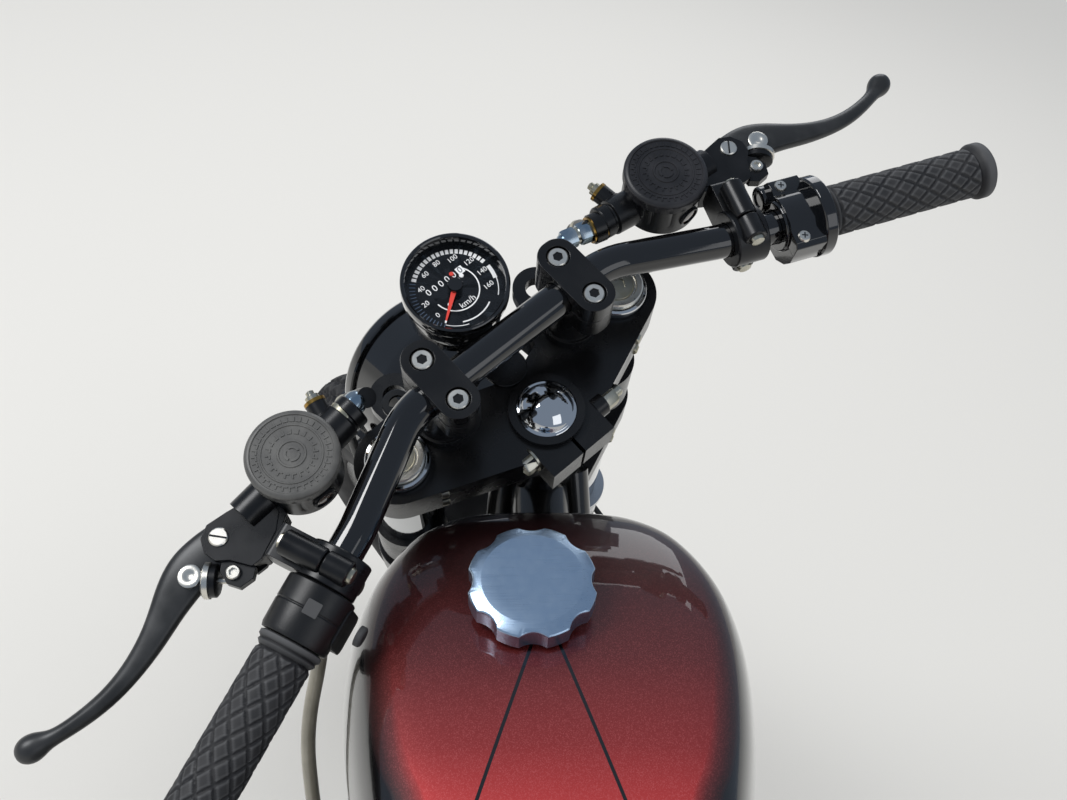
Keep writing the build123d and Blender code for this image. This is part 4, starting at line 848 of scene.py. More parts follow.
# aluminium flake under the candy, 0.45 mm, a little coarser than real so that it shows; its pale pink specks are
# painted glints, dimmed by the painted shade
flake = addNode(tree, "TexVoronoi", {"Vector": place, "Scale": 1000 / 0.45}).outputs
glint = addNode(tree, "SeparateColor", {"Color": flake["Color"]})
glint = addNode(tree, "MapRange", {"Value": glint, "From Min": 0.6, "To Max": 0.3})
glint = addNode(tree, "Math", {0: glint, 1: depth}, operation="MULTIPLY")
sparkled = addNode(tree, "Mix", {0: glint, 6: shade, 7: "#e0787a"}, data_type="RGBA").outputs[2]
stripes = []
for x, y, slope in candy["stripes"]:
    run = addNode(tree, "Math", {0: split["X"], 1: -x}, operation="ADD")
    middle = addNode(tree, "Math", {0: run, 1: slope, 2: y}, operation="MULTIPLY_ADD")
    gap = addNode(tree, "Math", {0: split["Y"], 1: middle}, operation="SUBTRACT")
    gap = addNode(tree, "Math", {0: gap}, operation="ABSOLUTE")
    stripes.append(addNode(tree, "MapRange", {
        "Value": gap, "From Min": candy["stripeHalf"], "From Max": candy["stripeHalf"] - 0.25}))
striped = addNode(tree, "Math", {0: stripes[1], 1: stripes[0]}, operation="MAXIMUM")
behind = addNode(tree, "Math", {0: split["X"], 1: candy["stripeStart"]}, operation="LESS_THAN")
striped = addNode(tree, "Math", {0: striped, 1: behind}, operation="MULTIPLY")
plain = addNode(tree, "Math", {0: 1.0, 1: striped}, operation="SUBTRACT")
red = addNode(tree, "Math", {0: red, 1: plain}, operation="MULTIPLY")
peel = addNode(tree, "TexNoise", {"Vector": place, "Scale": 1000 / 7, "Detail": 2.0})
feed(shader, {
    "Base Color": addNode(tree, "Mix", {0: red, 6: "#070607", 7: sparkled}, data_type="RGBA").outputs[2],
    "Metallic": addNode(tree, "Math", {0: red, 1: 0.45}, operation="MULTIPLY"),
    "Roughness": addNode(tree, "MapRange", {"Value": red, "To Min": 0.16, "To Max": 0.42}),
    "Coat Normal": addNode(tree, "Bump", {"Height": peel, "Distance": 0.000012}),
    "Normal": addNode(tree, "Bump", {"Height": flake["Distance"], "Distance": 0.00003}),
})
finishPiece("tankShell", "chassis", "candyLacquer blackLacquer", "tank_paint", 42, "fuel_tank")
print("tank made")

# Brushed cap: straight fine lines from the belt, one every 0.25 mm and 40 mm long; its pale grey-blue is a painted
# reflection of blue sky on the aluminium
tree, shader, place = newSurface("brushedAluminium", "#b4cbe6", 1, 0.3)
lines = addNode(tree, "Mapping", lying(capPlace, 0.00025, 0.04, 0.0007), vector_type="TEXTURE")
brush = addNode(tree, "TexNoise", {"Vector": lines, "Scale": 1.0, "Detail": 3.0})
mottle = addNode(tree, "TexNoise", {"Vector": place, "Scale": 1000 / 6, "Detail": 4.0})
feed(shader, {
    "Roughness": addNode(tree, "MapRange", {
        "Value": brush, "From Min": 0.3, "From Max": 0.7, "To Min": 0.27, "To Max": 0.36}),
    # random mottle between two grey-blues, both a painted reflection of blue sky
    "Base Color": addNode(tree, "Mix", {0: mottle, 6: "#a6c0dc", 7: "#c2d6ea"}, data_type="RGBA").outputs[2],
    "Normal": addNode(tree, "Bump", {"Height": brush, "Distance": 0.00002}),
})
cap = {"radius": 37.2, "height": 16, "flat": 29, "scallops": 8, "scallopRadius": 12.5, "scallopDepth": 3.6,
       "cone": 0.3, "threads": (-4, -8, -12)}


def scallop(angle, radius, height):
    if radius < cap["radius"] - 3:
        return 0
    step = 2 * pi / cap["scallops"]
    away = (angle + step / 2) % step - step / 2
    centre = cap["radius"] + cap["scallopRadius"] - cap["scallopDepth"]
    under = cap["scallopRadius"] ** 2 - (centre * sin(away)) ** 2
    cut = cap["radius"] - centre * cos(away) + sqrt(max(0, under))
    # a corner rounded over about a millimetre
    return -(sqrt(cut * cut + 0.5) + cut - 0.7071) / 2 if under > 0 and cut > -0.5 else 0


r, h, flat = cap["radius"], cap["height"], cap["flat"]
points, faces = turned(
    ((21.4, -16), (21.4, 0.2), (r - 5.5, 0.2), (r - 0.8, 0.5), (r, 1.4), (r, h - 4.2), (r, h - 3.2),
     (r - 0.35, h - 2.6), (r - 0.9, h - 2.3), (flat + 2.4, h - 0.75), (flat + 0.5, h - 0.12), (flat, h),
     (20, h), (8, h)), 176, scallop)
# where a scallop cuts in, the edge climbs the cone
add(([(x, y, z + cap["cone"] * max(0, r - 0.5 - hypot(x, y)) if h - 3.3 < z < h - 2.2 else z)
      for x, y, z in points], faces))
for z in cap["threads"]:
    add(turned("20 -1.2, 21.9 -0.6, 21.9 0.6, 20 1.2, 20 -1.2"), move(0, 0, z))
finishPiece("lobedCap", "fuel_cap", "brushedAluminium", "cap_aluminium", 28, "fuel_cap", capPlace)
print("cap made")

# Instrument: a glossy cup with a printed face sunk in it
dial = {
    "at": (84.5, 4, 45.5), "tilt": -3, "radius": 34.3, "sunk": 9.6, "faceRadius": 31.2, "pointer": 217,
    "numbers": 9, "numberFrom": 200, "numberStep": -29, "numberRadius": 21.2, "numberSize": 3.5,
    # print raised from low to high
    "low": 0.04, "high": 0.12, "wheels": 5, "wheelStep": 5.0, "wheelFrom": (-14.6, 8.2),
    # inner and outer radius, start and end
    "bands": ((25.2, 27.8, -1, -22), (22.7, 23.6, -62, -118), (14.9, 15.7, 186, 396), (25.3, 25.8, 217, 250),
              (26.9, 27.5, -22, -48)),
}
dialPlace = steerPlace @ move(*dial["at"]) @ turn(dial["tilt"], "Y")
facePlace = dialPlace @ move(0, 0, -dial["sunk"]) @ turn(-90, "Z")
printed = {"body": "steering", "slot": "dial_black", "place": facePlace, "sharp": 30}
r, wall, sunk = dial["radius"], dial["faceRadius"], dial["sunk"]
add(turned([
    (wall, -sunk), (wall, -1.2), (wall + 0.4, 0.3), (wall + 1.2, 1), (r - 0.9, 1), (r - 0.2, 0.5), (r, -0.4),
    (r, -9.4), (r - 0.5, -10.4), (r - 3, -12), (r - 3.3, -20), (r - 4, -38), (r - 6, -41.5), (22, -46),
    (12, -46.4)], 96))
finishPiece("dialCup", "steering", "blackLacquer", "dial_black", 30, "speedometer", dialPlace)
add(turned([(wall + 0.2, -0.6), (wall + 0.2, 0), (15, 0)], 64))
add(turned("4.9 0, 4.9 6.4, 4.5 7, 1 7", 32), finish=1)
for x, y, finish in ((4.7, 9.4, 2), (-9.6, -6.5, 3), (8.9, 4.6, 3)):
    add(turned("1.5 0, 1.5 0.5, 1.2 0.8", 16), move(x, y, 0), finish)
pointing = turn(dial["pointer"] - 90, "Z")
add(plank("-1.5 -3, 1.5 -3, 1.7 3, 0.5 24.5, -0.5 24.5, -1.7 3", 3.6, 4.3), pointing, 2)
add(plank("-0.55 24.5, 0.55 24.5, 0.5 26.2, -0.5 26.2", 3.6, 4.3), pointing, 3)
finishPiece("dialFace", finishes="dialSlate blackLacquer pointerRed dialWhite", **printed)
# blocks for the speeds, fine lines for the rest, printed dark as a painted shadow of the bezel
for name, size, thick, finish, count, radius, start, step in (
        ("dialBlocks", (3, 2.1), 0.12, "dialWhite", 19, 26.4, 128, -6.6),
        ("dialTicks", (3.8, 0.44), 0.1, "dialFaint", 17, 26.8, 216, -5.1)):
    growRing(name, [plank(rectangle(*size), 0, thick)], finish=finish, count=count, radius=radius,
             start=radians(start), step=radians(step), height=dial["low"], **{**printed, "sharp": 32})


def arcBand(inner, outer, start, end, height=dial["high"], steps=40):
    return plank(arc(outer, start, end, steps) + arc(inner, end, start, steps), dial["low"], height)


for row in dial["bands"]:
    add(arcBand(*row))
finishPiece("dialArcs", finishes="dialWhite", **printed)


# Figures from the program's own plain face, made flat meshes before they are placed
def addFigures(text, height, x, y):
    curve = bpy.data.curves.new("figures", "FONT")
    curve.body = text
    curve.size = height * 1.38
    curve.align_x = "CENTER"
    curve.align_y = "CENTER"
    curve.extrude = 0.03
    curve.resolution_u = 3
    flat = plainMesh(bareObject("figures", curve))
    add(([tuple(v.co) for v in flat.vertices], [tuple(p.vertices) for p in flat.polygons]), move(x, y, 0.1))


for number in range(dial["numbers"]):
    angle = radians(dial["numberFrom"] + number * dial["numberStep"])
    addFigures(str(20 * number), dial["numberSize"], *circle(dial["numberRadius"], angle))
addFigures("km/h", 4.2, 0.5, -11.6)
wheelX, wheelY = dial["wheelFrom"]
for number in range(dial["wheels"]):
    addFigures("0", 4.6, wheelX + dial["wheelStep"] * number, wheelY)
finishPiece("dialFigures", finishes="dialWhite", **printed)
add(plank(rectangle(4.8, 5.2), 0.02, 0.1), move(10.7, wheelY, 0))
finishPiece("dialWheel", finishes="dialWhite", **printed)
addFigures("0", 4.4, 10.7, wheelY)
finishPiece("dialWheelFigure", finishes="dialSlate", **{**printed, "place": facePlace @ move(0, 0, 0.05)})
print("instrument made")

# Master cylinders: barrel, fluid pot, slotted perch and a two-bolt clamp round the bar
master = {
    "barrel": ((64, 100, 30), (53, 190, 24)), "pot": (55.6, 148.6, 0), "hose": ((65.4, 92, 30.6), (77, 97, 13)),
    "perch": "61.5 209, 60.5 196, 58.5 180, 52 172, 41 173, 33 181, 25 197, 25 203.5, 36 211, 41 217.5, 49 219.5, "
             "57 216.5",
    "web": "60 194, 58.5 180, 52 170, 38 170, 30 182, 25 194, 27 201, 38 203",
    "lug": "40 214, 33 203, 24 202, 19.6 207, 20 216, 27 220.2, 35 219",
    # how far along the bar each clamp sits, left and right
    "clampAt": {1: 26, -1: 15}, "clampHalf": 11, "bossRadius": 7.6, "bossLift": 16.4, "notches": 12,
}
barrel, pot, hose = along(*master["barrel"]), move(*master["pot"]), along(*master["hose"])


def potNotch(angle, radius, height):
    return -0.9 * max(0, cos(master["notches"] * angle)) ** 6 if height >= 27 and radius >= 25 else 0


first, last = master["barrel"]
addBoth(turned(pairs("6 -0.6, 10.4 0, 11.2 1, 11.2 7, 10.2 7.6, 10.2 9, 12 9.8")
               + [(12, (Vector(last) - Vector(first)).length)], 40), barrel)
addBoth(turned("18 11, 20 14, 24.6 18, 25.9 19.4, 25.9 26, 25.9 28, 25.9 43.6, 24.8 44.4, 24.8 45", 96, potNotch), pot)
for outline, low, high in (("perch", 26.2, 30.4), ("perch", 9.6, 13.8), ("web", 10.2, 29.8), ("lug", 21.5, 28)):
    addBoth(plank(master[outline], low, high))
addBoth(turned("7.4 0, 7.4 12, 6.6 12.8, 6.6 22", 28), along((60, 120, 28), (84, 116, 31)))
addBoth(turned("6.4 -4, 6.4 6, 5.6 7, 5.6 21, 4.6 22, 4.6 25", 28), hose)
for side, middle in master["clampAt"].items():
    here, low, high = barFrame(side), middle - master["clampHalf"], middle + master["clampHalf"]
    add(turned([(11.3, low), (17.6, low), (18.4, low + 0.9), (18.4, high - 0.9), (17.6, high), (11.3, high),
                (11.3, low)]), here)
    add(plank([(x, y + 22) for x, y in roundedBox(24, 30, 4)], low + 1, high - 1), here)
    r = master["bossRadius"]
    for lift, far in ((master["bossLift"], 29), (-master["bossLift"], 18)):
        for start, end in ((-13, 2.6), (3.4, far)):
            add(turned([(r - 0.8, 0), (r, 0.8), (r, end - start - 0.8), (r - 0.8, end - start)], 28),
                here @ along((lift, start, middle), (lift, end, middle)))
finishPiece("masterBodies", "steering", "blackAnodised", "satin_black", 36, "master_cylinders", bevel=0.5)

# Fluid pots' caps with two rings of raised marks, and the sight glass towards the rider
lid = {
    "top": 54, "grips": 20, "crescents": (20, 140, 260),
    "steps": "20 45.2, 26.8 45.2, 27.4 45.8, 27.4 46.5, 27.4 50.6, 27.4 51.7, 26.9 52.7, 25.7 53.6, 24.8 54, 24.1 54, "
             "23.7 53.3, 18.4 53.3, 18.1 53.8, 17.4 53.8, 17.1 53.3, 8.6 53.3, 8.3 53.9, 7.4 53.9, 7.1 53.3, 2.6 53.3",
    # ring: radius, marks, length of a mark
    "rings": {"Outer": (21.2, 34, 2.9), "Inner": (13.6, 20, 2.5)},
}


def lidGrip(angle, radius, height):
    return -0.55 * max(0, cos(lid["grips"] * angle)) ** 4 if 46.4 < height < 51 and radius > 27 else 0


# left lid in the lit copy of the nylon, painted light; right lid in the plain nylon
for finish, at in enumerate((pot, mirrorY @ pot)):
    add(turned(lid["steps"], 120, lidGrip), at, finish)
    for angle in lid["crescents"]:
        add(arcBand(3.2, 4.8, 0, 96, 0.7, 10), at @ move(0, 0, lid["top"] - 0.8) @ turn(angle, "Z"), finish)
finishPiece("reservoirLids", "steering", "satinNylon mouldedNylon", "cap_black", 28, "reservoir_caps")
# the left marks in painted light, like their lid
for side, finish, sign in (("Left", "satinNylon", 1), ("Right", "mouldedNylon", -1)):
    x, y, _ = master["pot"]
    for ring, (radius, count, length) in lid["rings"].items():
        foot, head = -length / 2, length / 2
        mark = plank([(-1.5, foot), (1.5, foot), (1.5, foot + 0.75), (-0.7, foot + 0.75), (-0.7, head), (-1.5, head)],
                     0, 0.55)
        growRing("lid" + ring + side, [mark], "steering", finish, "cap_black", count, radius, 0.1,
                 height=lid["top"] - 0.75, place=steerPlace @ move(x, sign * y, 0))
window = along((30.7, 148.6, 32), (26.7, 148.6, 32))
addBoth(turned("7.6 0, 7.6 1.7, 6.9 2.3, 6.1 2.3, 5.9 1.4, 5.9 0, 7.6 0", 36), window)
addBoth(turned("5.9 0, 5.9 1.2, 3 1.7", 36), window, 1)
finishPiece("sightGlasses", "steering", "blackAnodised amberGlass", "satin_black", 40)

# Clamp bolts, banjo bolts with their washers, bleed nipples
for side, middle in master["clampAt"].items():
    lift, here = master["bossLift"], barFrame(side)
    for x in (lift, -lift):
        add(turned("4.9 -0.5, 4.9 1.2, 4.2 2.4, 2.4 2.9", 24), here @ along((x, -13, middle), (x, -18, middle)))
    add(hexHead(9, 4), here @ along((lift, 27, middle), (lift, 31, middle)))
right, left = mirrorY @ along((62, 101, 30), (70, 70, 30.6)), along((62.4, 115, 30), (69, 88, 31))
for steps, at, finish in (
        ("6 8, 9 8, 9 9.6, 6 9.6, 6 8", right, 2), ("6 -1.2, 9 -1.2, 9 0.4, 6 0.4, 6 -1.2", right, 2),
        ("6.2 0.4, 10 0.4, 10 8, 6.2 8", right, 3), ("6 -1, 9.4 -1, 9.4 1, 6 1, 6 -1", left, 2),
        ("6.2 1, 10 1, 10 9, 6.2 9", left, 0), ("6 9, 9.4 9, 9.4 10.4, 6 10.4, 6 9", left, 2),
        ("7.4 15, 7.4 17.4, 7 20, 5.6 22.4, 3.2 24, 1 24.4", left, 1)):
    add(turned(steps, 32), at, finish)
add(turned("5 17, 5.6 17.6, 5.6 20", 24), right)
add(turned("4.6 28, 4.6 30.6, 3.2 32.2", 24), right, 1)
add(hexHead(13.4, 8), right @ move(0, 0, 9.6), 1)
add(hexHead(12.4, 9), right @ move(0, 0, 20), 1)
add(hexHead(13, 5), left @ move(0, 0, 10.4))
bleed = along((80, 116.6, 30.4), (87, 115.4, 31.4))
addBoth(turned("3 1, 6.9 1, 6.9 3.2, 3 3.2, 3 1", 28), bleed, 2)
addBoth(turned("4.4 3, 4.4 6.4, 2.6 7.2, 2.6 9.4, 1.6 10", 24), bleed)
# crimped ferrules where the hoses leave
addBoth(turned("4.5 22, 4.8 22.6, 4.8 30, 4.3 30.6, 4.3 33", 28), hose)
finishPiece("masterBolts", "steering", "zincPlate bluedZinc brassRing blackAnodised", "zinc_steel", 36)
print("masters made")

# Left switch: a smooth barrel next to the grip, square button, ribbed boot where the cable leaves
here = barFrame(1)
add(turned("11.3 37.4, 19.6 37.4, 20.6 38.3, 20.6 51.6, 20.2 52, 20.2 52.6, 20.6 53, 20.2 67.2, 19.4 69.8, 11.3 69.8, "
           "11.3 37.4", 72), here)
add(plank(roundedBox(8.6, 8.6, 0.8), 19.6, 21.1), here @ turn(-14, "Z") @ move(0, 0, 51) @ turn(90, "Y"), 1)
add(turned("9.6 0, 10.4 1, 10.4 12, 9.4 13, 8.8 20, 8.8 23", 40), along((-15, 190, 27), (-24, 200, -4)))
add(plank(roundedBox(30, 24, 5), -13, 4), here @ move(-10, -17, 52) @ turn(90, "X"))
add(turned("6 0, 6 3, 5 4", 28), here @ along((-8, -28, 50), (-8, -36, 50)), 1)
ribs = repeated("8.7 17, 8.7 19.3, 7.5 19.9, 7.5 20.7", 4, 0, 4.2)
add(turned(pairs("7.6 15, 8.6 16") + ribs + pairs("8.2 34.2, 7.2 37, 5.6 38, 4.4 38.2"), 40),
    along((-19.4, 195.2, 24), (-24, 200, -4)), 1)
finishPiece("leftSwitch", "steering", "grainedAbs gripRubber", "switch_plastic", 36, "switch_housing", bevel=0.4)

# Right throttle housing: two halves, a broad flange against the grip, two cross-headed screws
here = barFrame(-1)
add(turned("11.3 38, 16 38, 17 39, 17 60, 11.3 60, 11.3 38", 60), here)
add(turned("12.6 61, 25.4 61, 26.6 62, 26.6 69, 25.6 70, 20 70, 19.6 69, 12.6 69, 12.6 61", 84), here)
# the halves seen along the bar: upper half, then lower
add(plank("0.6 -25, 9 -25, 12.6 -22, 13.4 -14, 17 -9, 18 0, 17 9, 13.6 14, 15.5 19, 14 25, 9 27, 0.6 27", 40, 62), here)
add(plank("-0.6 -24, -9 -24, -17 -20, -24 -12, -25 0, -22 10, -14 19, -0.6 24", 41, 62), here)
add(turned("8.4 0, 8.4 9, 7.4 10, 4.6 10, 4.4 9", 32), here @ along((2, 21, 45), (2, 21, 33)))
finishPiece("throttleHalves", "steering", "blackLacquer", "gloss_black", 36, "throttle_housing", bevel=0.7)
for lift, back in ((14.6, 19.5), (12.4, -18.5)):
    at = here @ along((lift - 1.5, back, 47), (lift + 2, back, 47))
    add(turned("4.1 0, 4.1 2.2, 3.5 3.1, 1.6 3.4", 24), at)
    for angle in (0.4, 0.4 + pi / 2):
        add(plank(rectangle(4, 0.8), 3.1, 3.5), at @ Matrix.Rotation(angle, 4, "Z"), 1)
finishPiece("throttleScrews", "steering", "stainlessSteel blackAnodised", "zinc_steel", 36)
print("switches made")

# Fork caps: chromed rim, stainless nut, plated seat with a hexagon recess
forkCap = {
    "x": 35, "y": 94.6, "seat": -6,
    "rim": "20.9 -13, 20.9 -9.6, 20.2 -8.6, 18.6 -8.2, 17.8 -8.8, 17.8 -13",
    "nut": "17.4 -12, 17.4 -4.2, 16.6 -3.2, 13.4 -3.2, 12.8 -4.4, 12.8 -5.6, 10 -5.6",
}
for side in (1, -1):
    at = move(forkCap["x"], side * forkCap["y"], 0)
    add(turned(forkCap["rim"], 56), at)
    add(turned(forkCap["nut"], 56), at, 1)
    add(socketHead(11.6, 1.7, 10, 1.2), at @ move(0, 0, forkCap["seat"]), 2)
finishPiece("forkCaps", "steering", "chromePlate stainlessSteel zincPlate", "chrome", 36)

# Pinch bolts of both clamps, the ring on the left lug
pinch = {"x": -17, "z": -22, "legs": (-22, -37, -192, -207)}
for skin, y, towards, finish in (
        (turned("9 0, 9 1.4, 3 1.4", 28), 26, 1, 0), (hexHead(14, 8), 27.4, 1, 0),
        (turned("8.4 0, 8.4 8, 7.6 9, 6.4 9", 28), -26, -1, 1), (hexHead(14, 9), -35, -1, 0),
        (turned("4.2 0, 4.2 6, 3.4 7", 20), -43, -1, 0)):
    add(skin, along((pinch["x"], y, pinch["z"]), (pinch["x"], y + towards, pinch["z"])), finish)
for z in pinch["legs"]:
    addBoth(socketHead(4.9, 5, 5, 3), along((4.5, 85.14, z), (2, 80.14, z)))
add(turned("5.6 -15, 10.2 -15, 10.2 -12.6, 9.4 -12, 5.6 -12, 5.6 -15", 36), move(66, 70, 0), 1)
finishPiece("clampBolts", "steering", "zincPlate powderCoat", "zinc_steel", 36)

# Stem nut: a chromed dome standing on its own narrow flange
dome = {"radius": 17.4, "foot": -9.2, "rings": 14, "flange": "19.6 -14.9, 19.6 -10.4, 19 -9.8, 18 -9.7, 17.4 -9.2"}
ball = (dome["radius"] ** 2 + dome["foot"] ** 2) / (-2 * dome["foot"])
steps = pairs(dome["flange"])
for ring in range(dome["rings"] - 1, 0, -1):
    height, reach = circle(ball, asin(dome["radius"] / ball) * ring / dome["rings"])
    steps.append((reach, height - ball))
add(turned(steps, 72))
finishPiece("stemDome", "steering", "chromePlate", "chrome", 40, "stem_nut")
print("clamps dressed")

# Control cable: smooth sheath from the boot down beside the tank, held at both ends
cable = {
    "steer": ((-21.6, 197.6, 10), (-24.05, 200.05, -4.3), (-27, 203, -22)),
    "bike": ((889, 146, 792), (873, 145, 745), (850, 139, 690), (792, 131, 600), (792, 131, 500), (792, 131, 437)),
    "radius": 4.5,
}
corners = [steerPlace @ Vector(p) for p in cable["steer"]] + [bikePlace @ Vector(p) for p in cable["bike"]]
route = curveThrough("cableRoute", corners, "NURBS")
route.resolution_u = 14
route.splines[0].order_u = 3
route.splines[0].use_endpoint_u = True
line = [v.co.copy() for v in plainMesh(bareObject("cableRoute", route)).vertices]
add(swept(line, fullCircle(cable["radius"] / 1000, 20), up=frontAxle))
sheath = finishPiece("controlSheath", None, "clearSheath", "cable_rubber", 60, "control_cable", Matrix())
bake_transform(sheath)
print("cable made")

# Tyres: one pitch of the tread, copied round the wheel and welded to one skin
tyres = {
    # width, rim width
    "front": (104, 66), "rear": (116, 80),
    "radius": 328, "lip": 238, "bead": 231, "pitches": 66, "rows": 12, "columns": 58, "depth": 4.2,
    "nipple": "2.7 0, 3.4 0.8, 3.4 3.4, 2.6 4, 2.6 11, 1.4 12", "spokes": 36, "spokeLean": 34,
    # radius and distance from the wheel's middle of a spoke's two ends
    "spokeRoot": (42, 30), "spokeHead": (209, 4),
}


def fadeIn(value):
    return min(1, max(0, value))


# zigzag grooves in the middle and beside it, sipes that run out to the shoulder
def groove(across, phase, crown):
    swing = 3.2 * (4 * abs(phase - 0.5) - 1)
    cut = max(fadeIn((half + 1.2 - abs(across - centre)) / 1.2)
              for centre, half in ((swing, 2.6), (0.34 * crown + swing, 2.2), (-0.34 * crown + swing, 2.2)))
    side = abs(across) / crown
    if 0.42 < side < 0.93:
        lag = (phase + 0.55 * (side - 0.42) + (0.5 if across < 0 else 0)) % 1
        cut = max(cut, fadeIn((0.13 - abs(lag - 0.5)) / 0.05))
    return cut


def tyrePitch(width, rimWidth):
    radius, lip, crown, seat = tyres["radius"], tyres["lip"], width / 2, rimWidth / 2 - 0.3
    wall = radius - lip
    rise = wall * 0.58
    curve = (crown ** 2 + rise ** 2) / (2 * rise)
    sweep = asin(min(1, crown / curve)) if rise < curve else pi - asin(crown / curve)
    side = [(lip + 0.5, seat), (lip + 2.5, seat + 4.5), (lip + 6, seat + 7.5), (lip + wall * 0.17, crown * 0.93),
            (lip + wall * 0.27, crown * 0.975), (lip + wall * 0.34, crown * 0.99), (lip + wall * 0.38, crown)]
    treads = [circle(curve, sweep * (1 - 2 * column / tyres["columns"])) for column in range(tyres["columns"] + 1)]
    outline = [(*point, False) for point in side] + [(radius - curve + r, across, True) for r, across in treads]
    outline += [(r, -across, False) for r, across in side[::-1]]
    outline += [(tyres["bead"], -seat, False), (tyres["bead"], seat, False)]
    rings = []
    for row in range(tyres["rows"] + 1):
        phase = row / tyres["rows"]
        rings.append([
            (*circle(r - (tyres["depth"] * groove(across, phase % 1, crown) if tread else 0),
                     2 * pi / tyres["pitches"] * phase), across) for r, across, tread in outline])
    return skinOf(rings, ends=False)


for wheel in ("front", "rear"):
    body = wheel + "_wheel"
    upright = places[body] @ turn(90, "X")
    tyre = growRing(wheel + "Tread", [tyrePitch(*tyres[wheel])], body, "tyreRubber", "tyre_rubber",
                    tyres["pitches"], 0.0, sharp=50, place=upright, replaces=wheel + "_tyre")
    cleanMesh(tyre.data, 5e-5)
    # spoke nipples where the wires meet the rim
    spots = []
    for number in range(tyres["spokes"]):
        side, lean = 1 if number % 2 else -1, 1 if number % 4 < 2 else -1
        angle = 2 * pi * number / tyres["spokes"]
        (near, wide), (far, narrow) = tyres["spokeRoot"], tyres["spokeHead"]
        root = (*circle(near, angle - lean * radians(tyres["spokeLean"])), side * wide)
        spots.append(along((*circle(far, angle), side * narrow), root))
    growSpots(wheel + "Nipples", [turned(tyres["nipple"], 10)], body, "zincPlate", "zinc_steel", spots, place=upright)

# Matt black discs on the front brake disc's faces that stand for its cooling holes, painted shade where the holes are,
# and the buttons that hold its ring to the carrier
disc = {
    # piece: shape, sides, (ring, lag) pairs, copies, finish, slot
    # no hole is cut: a thin black disc is the painted shade of each hole
    "discHoles": ("4 -0.3, 4 0.08, 1 0.08", 18, "131 0, 118 7.5, 105 0", 24, "cylinderBlack", "engine_black"),
    "discButtons": ("7 -0.5, 7 0.9, 6 1.6, 3.4 1.6, 3 0.9, 1 0.9", 20, "92 22.5", 8, "blackAnodised",
                    "black_anodised"),
}
# which way each face of the disc looks, and where it lies
discFaces = {1: -45.5, -1: -50.5}
for name, (steps, sides, discRings, count, finish, slot) in disc.items():
    spots = []
    for side, y in discFaces.items():
        for radius, lag in pairs(discRings):
            for number in range(count):
                x, z = circle(radius, radians(lag + 360 * number / count))
                spots.append(along((x, y, z), (x, y + side, z)))
    growSpots(name, [turned(steps, sides)], "front_wheel", finish, slot, spots)
print("tyres made")


def lengthOf(track):
    return sum((b - a).length for a, b in zip(track, track[1:]))


# Seat: a waxed leather pad with rolls across it between two piped borders
seat = {
    "plan": "524 60, 519 69, 500 76, 450 86, 380 97, 280 103.5, 180 107.5, 90 110.5, 40 111.5, 10 111, 1 104",
    "floor": 767.3, "edge": 796, "crown": 812, "rolls": 13, "rollFrom": 62, "rollTo": 474, "border": 26,
    "rollDepth": 5.0, "columns": 40, "stitch": 7,
}
leather = {"body": "chassis", "finishes": "waxedHide", "slot": "seat_leather", "sharp": 60}


def seatHeight(x, y, half):
    inner = half - seat["border"]
    lift = seat["crown"] - 5.5 * (abs(y) / half) ** 2.2 - 3 * max(0, (x - 420) / 100) ** 2
    away = [abs(abs(y) - inner)]
    if seat["rollFrom"] < x < seat["rollTo"]:
        step = (seat["rollTo"] - seat["rollFrom"]) / seat["rolls"]
        roll = abs(sin(pi * (x - seat["rollFrom"]) / step)) ** 0.55
        lift -= seat["rollDepth"] * (1 - roll) * fadeIn((inner - abs(y)) / 5)
    if abs(y) < inner:
        away += [abs(x - seat["rollFrom"]), abs(x - seat["rollTo"])]
    return lift - 3.2 * max(0, 1 - min(away) / 4.5)


planLine = smoothLine(pairs(seat["plan"]), 16)
rings = []
for x, half in planLine:
    across = [half * 0.93 * (2 * number / seat["columns"] - 1) for number in range(seat["columns"] + 1)]
    ring = [(x, y, seatHeight(x, y, half)) for y in across]
    top, edge, floor = ring[-1][2], seat["edge"], seat["floor"]
    side = [(x, half * share, z) for share, z in (
        (0.965, top - 2.6), (0.99, top - 7.5), (1, edge - 8), (0.985, edge - 16), (0.965, floor + 3), (0.95, floor))]
    under = [(x, half * share, floor) for share in (0.6, 0.2, -0.2, -0.6)]
    rings.append(ring + side + under + [(x, -y, z) for x, y, z in side[::-1]])
# the ends pull in like the sides
for row, amount in ((0, 9), (1, 5), (2, 2.5), (-1, 8), (-2, 4)):
    rings[row] = [(x, y, min(z, seat["crown"] - amount) if z > seat["edge"] else z) for x, y, z in rings[row]]
add(skinOf(rings))
hide = finishPiece("rolledSeat", subdivision=1, **leather)
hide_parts("seat")
# piping round the edge of the top, with stitches beside it
piping = [(x + (1.5 if x > 500 else 0), half * 0.955, seatHeight(x, half * 0.93, half) - 1.2)
          for x, half in planLine[3:-3]]
add(swept(piping + [(x, -y, z) for x, y, z in piping[::-1]], fullCircle(2.3, 10), closed=True))
finishPiece("seatPiping", **leather)
stitch = swept([(-2.4, 0, -0.4), (-1.2, 0, 0.45), (1.2, 0, 0.45), (2.4, 0, -0.4)], fullCircle(0.55, 6))
for name, side in (("Left", 1), ("Right", -1)):
    track = []
    for x, half in planLine:
        if seat["rollFrom"] - 6 < x < seat["rollTo"] + 6:
            y = half - seat["border"] + 6
            track.append(Vector((x, side * y, seatHeight(x, y, half) + 0.1)))
    grow("seatStitches" + name, "along", [stitch], "chassis", "seatThread", "seat_leather", normal=(0, 0, 1),
         seed=curveThrough("stitchTrack", track, "POLY"), count=int(lengthOf(track) / seat["stitch"]))
print("seat made")
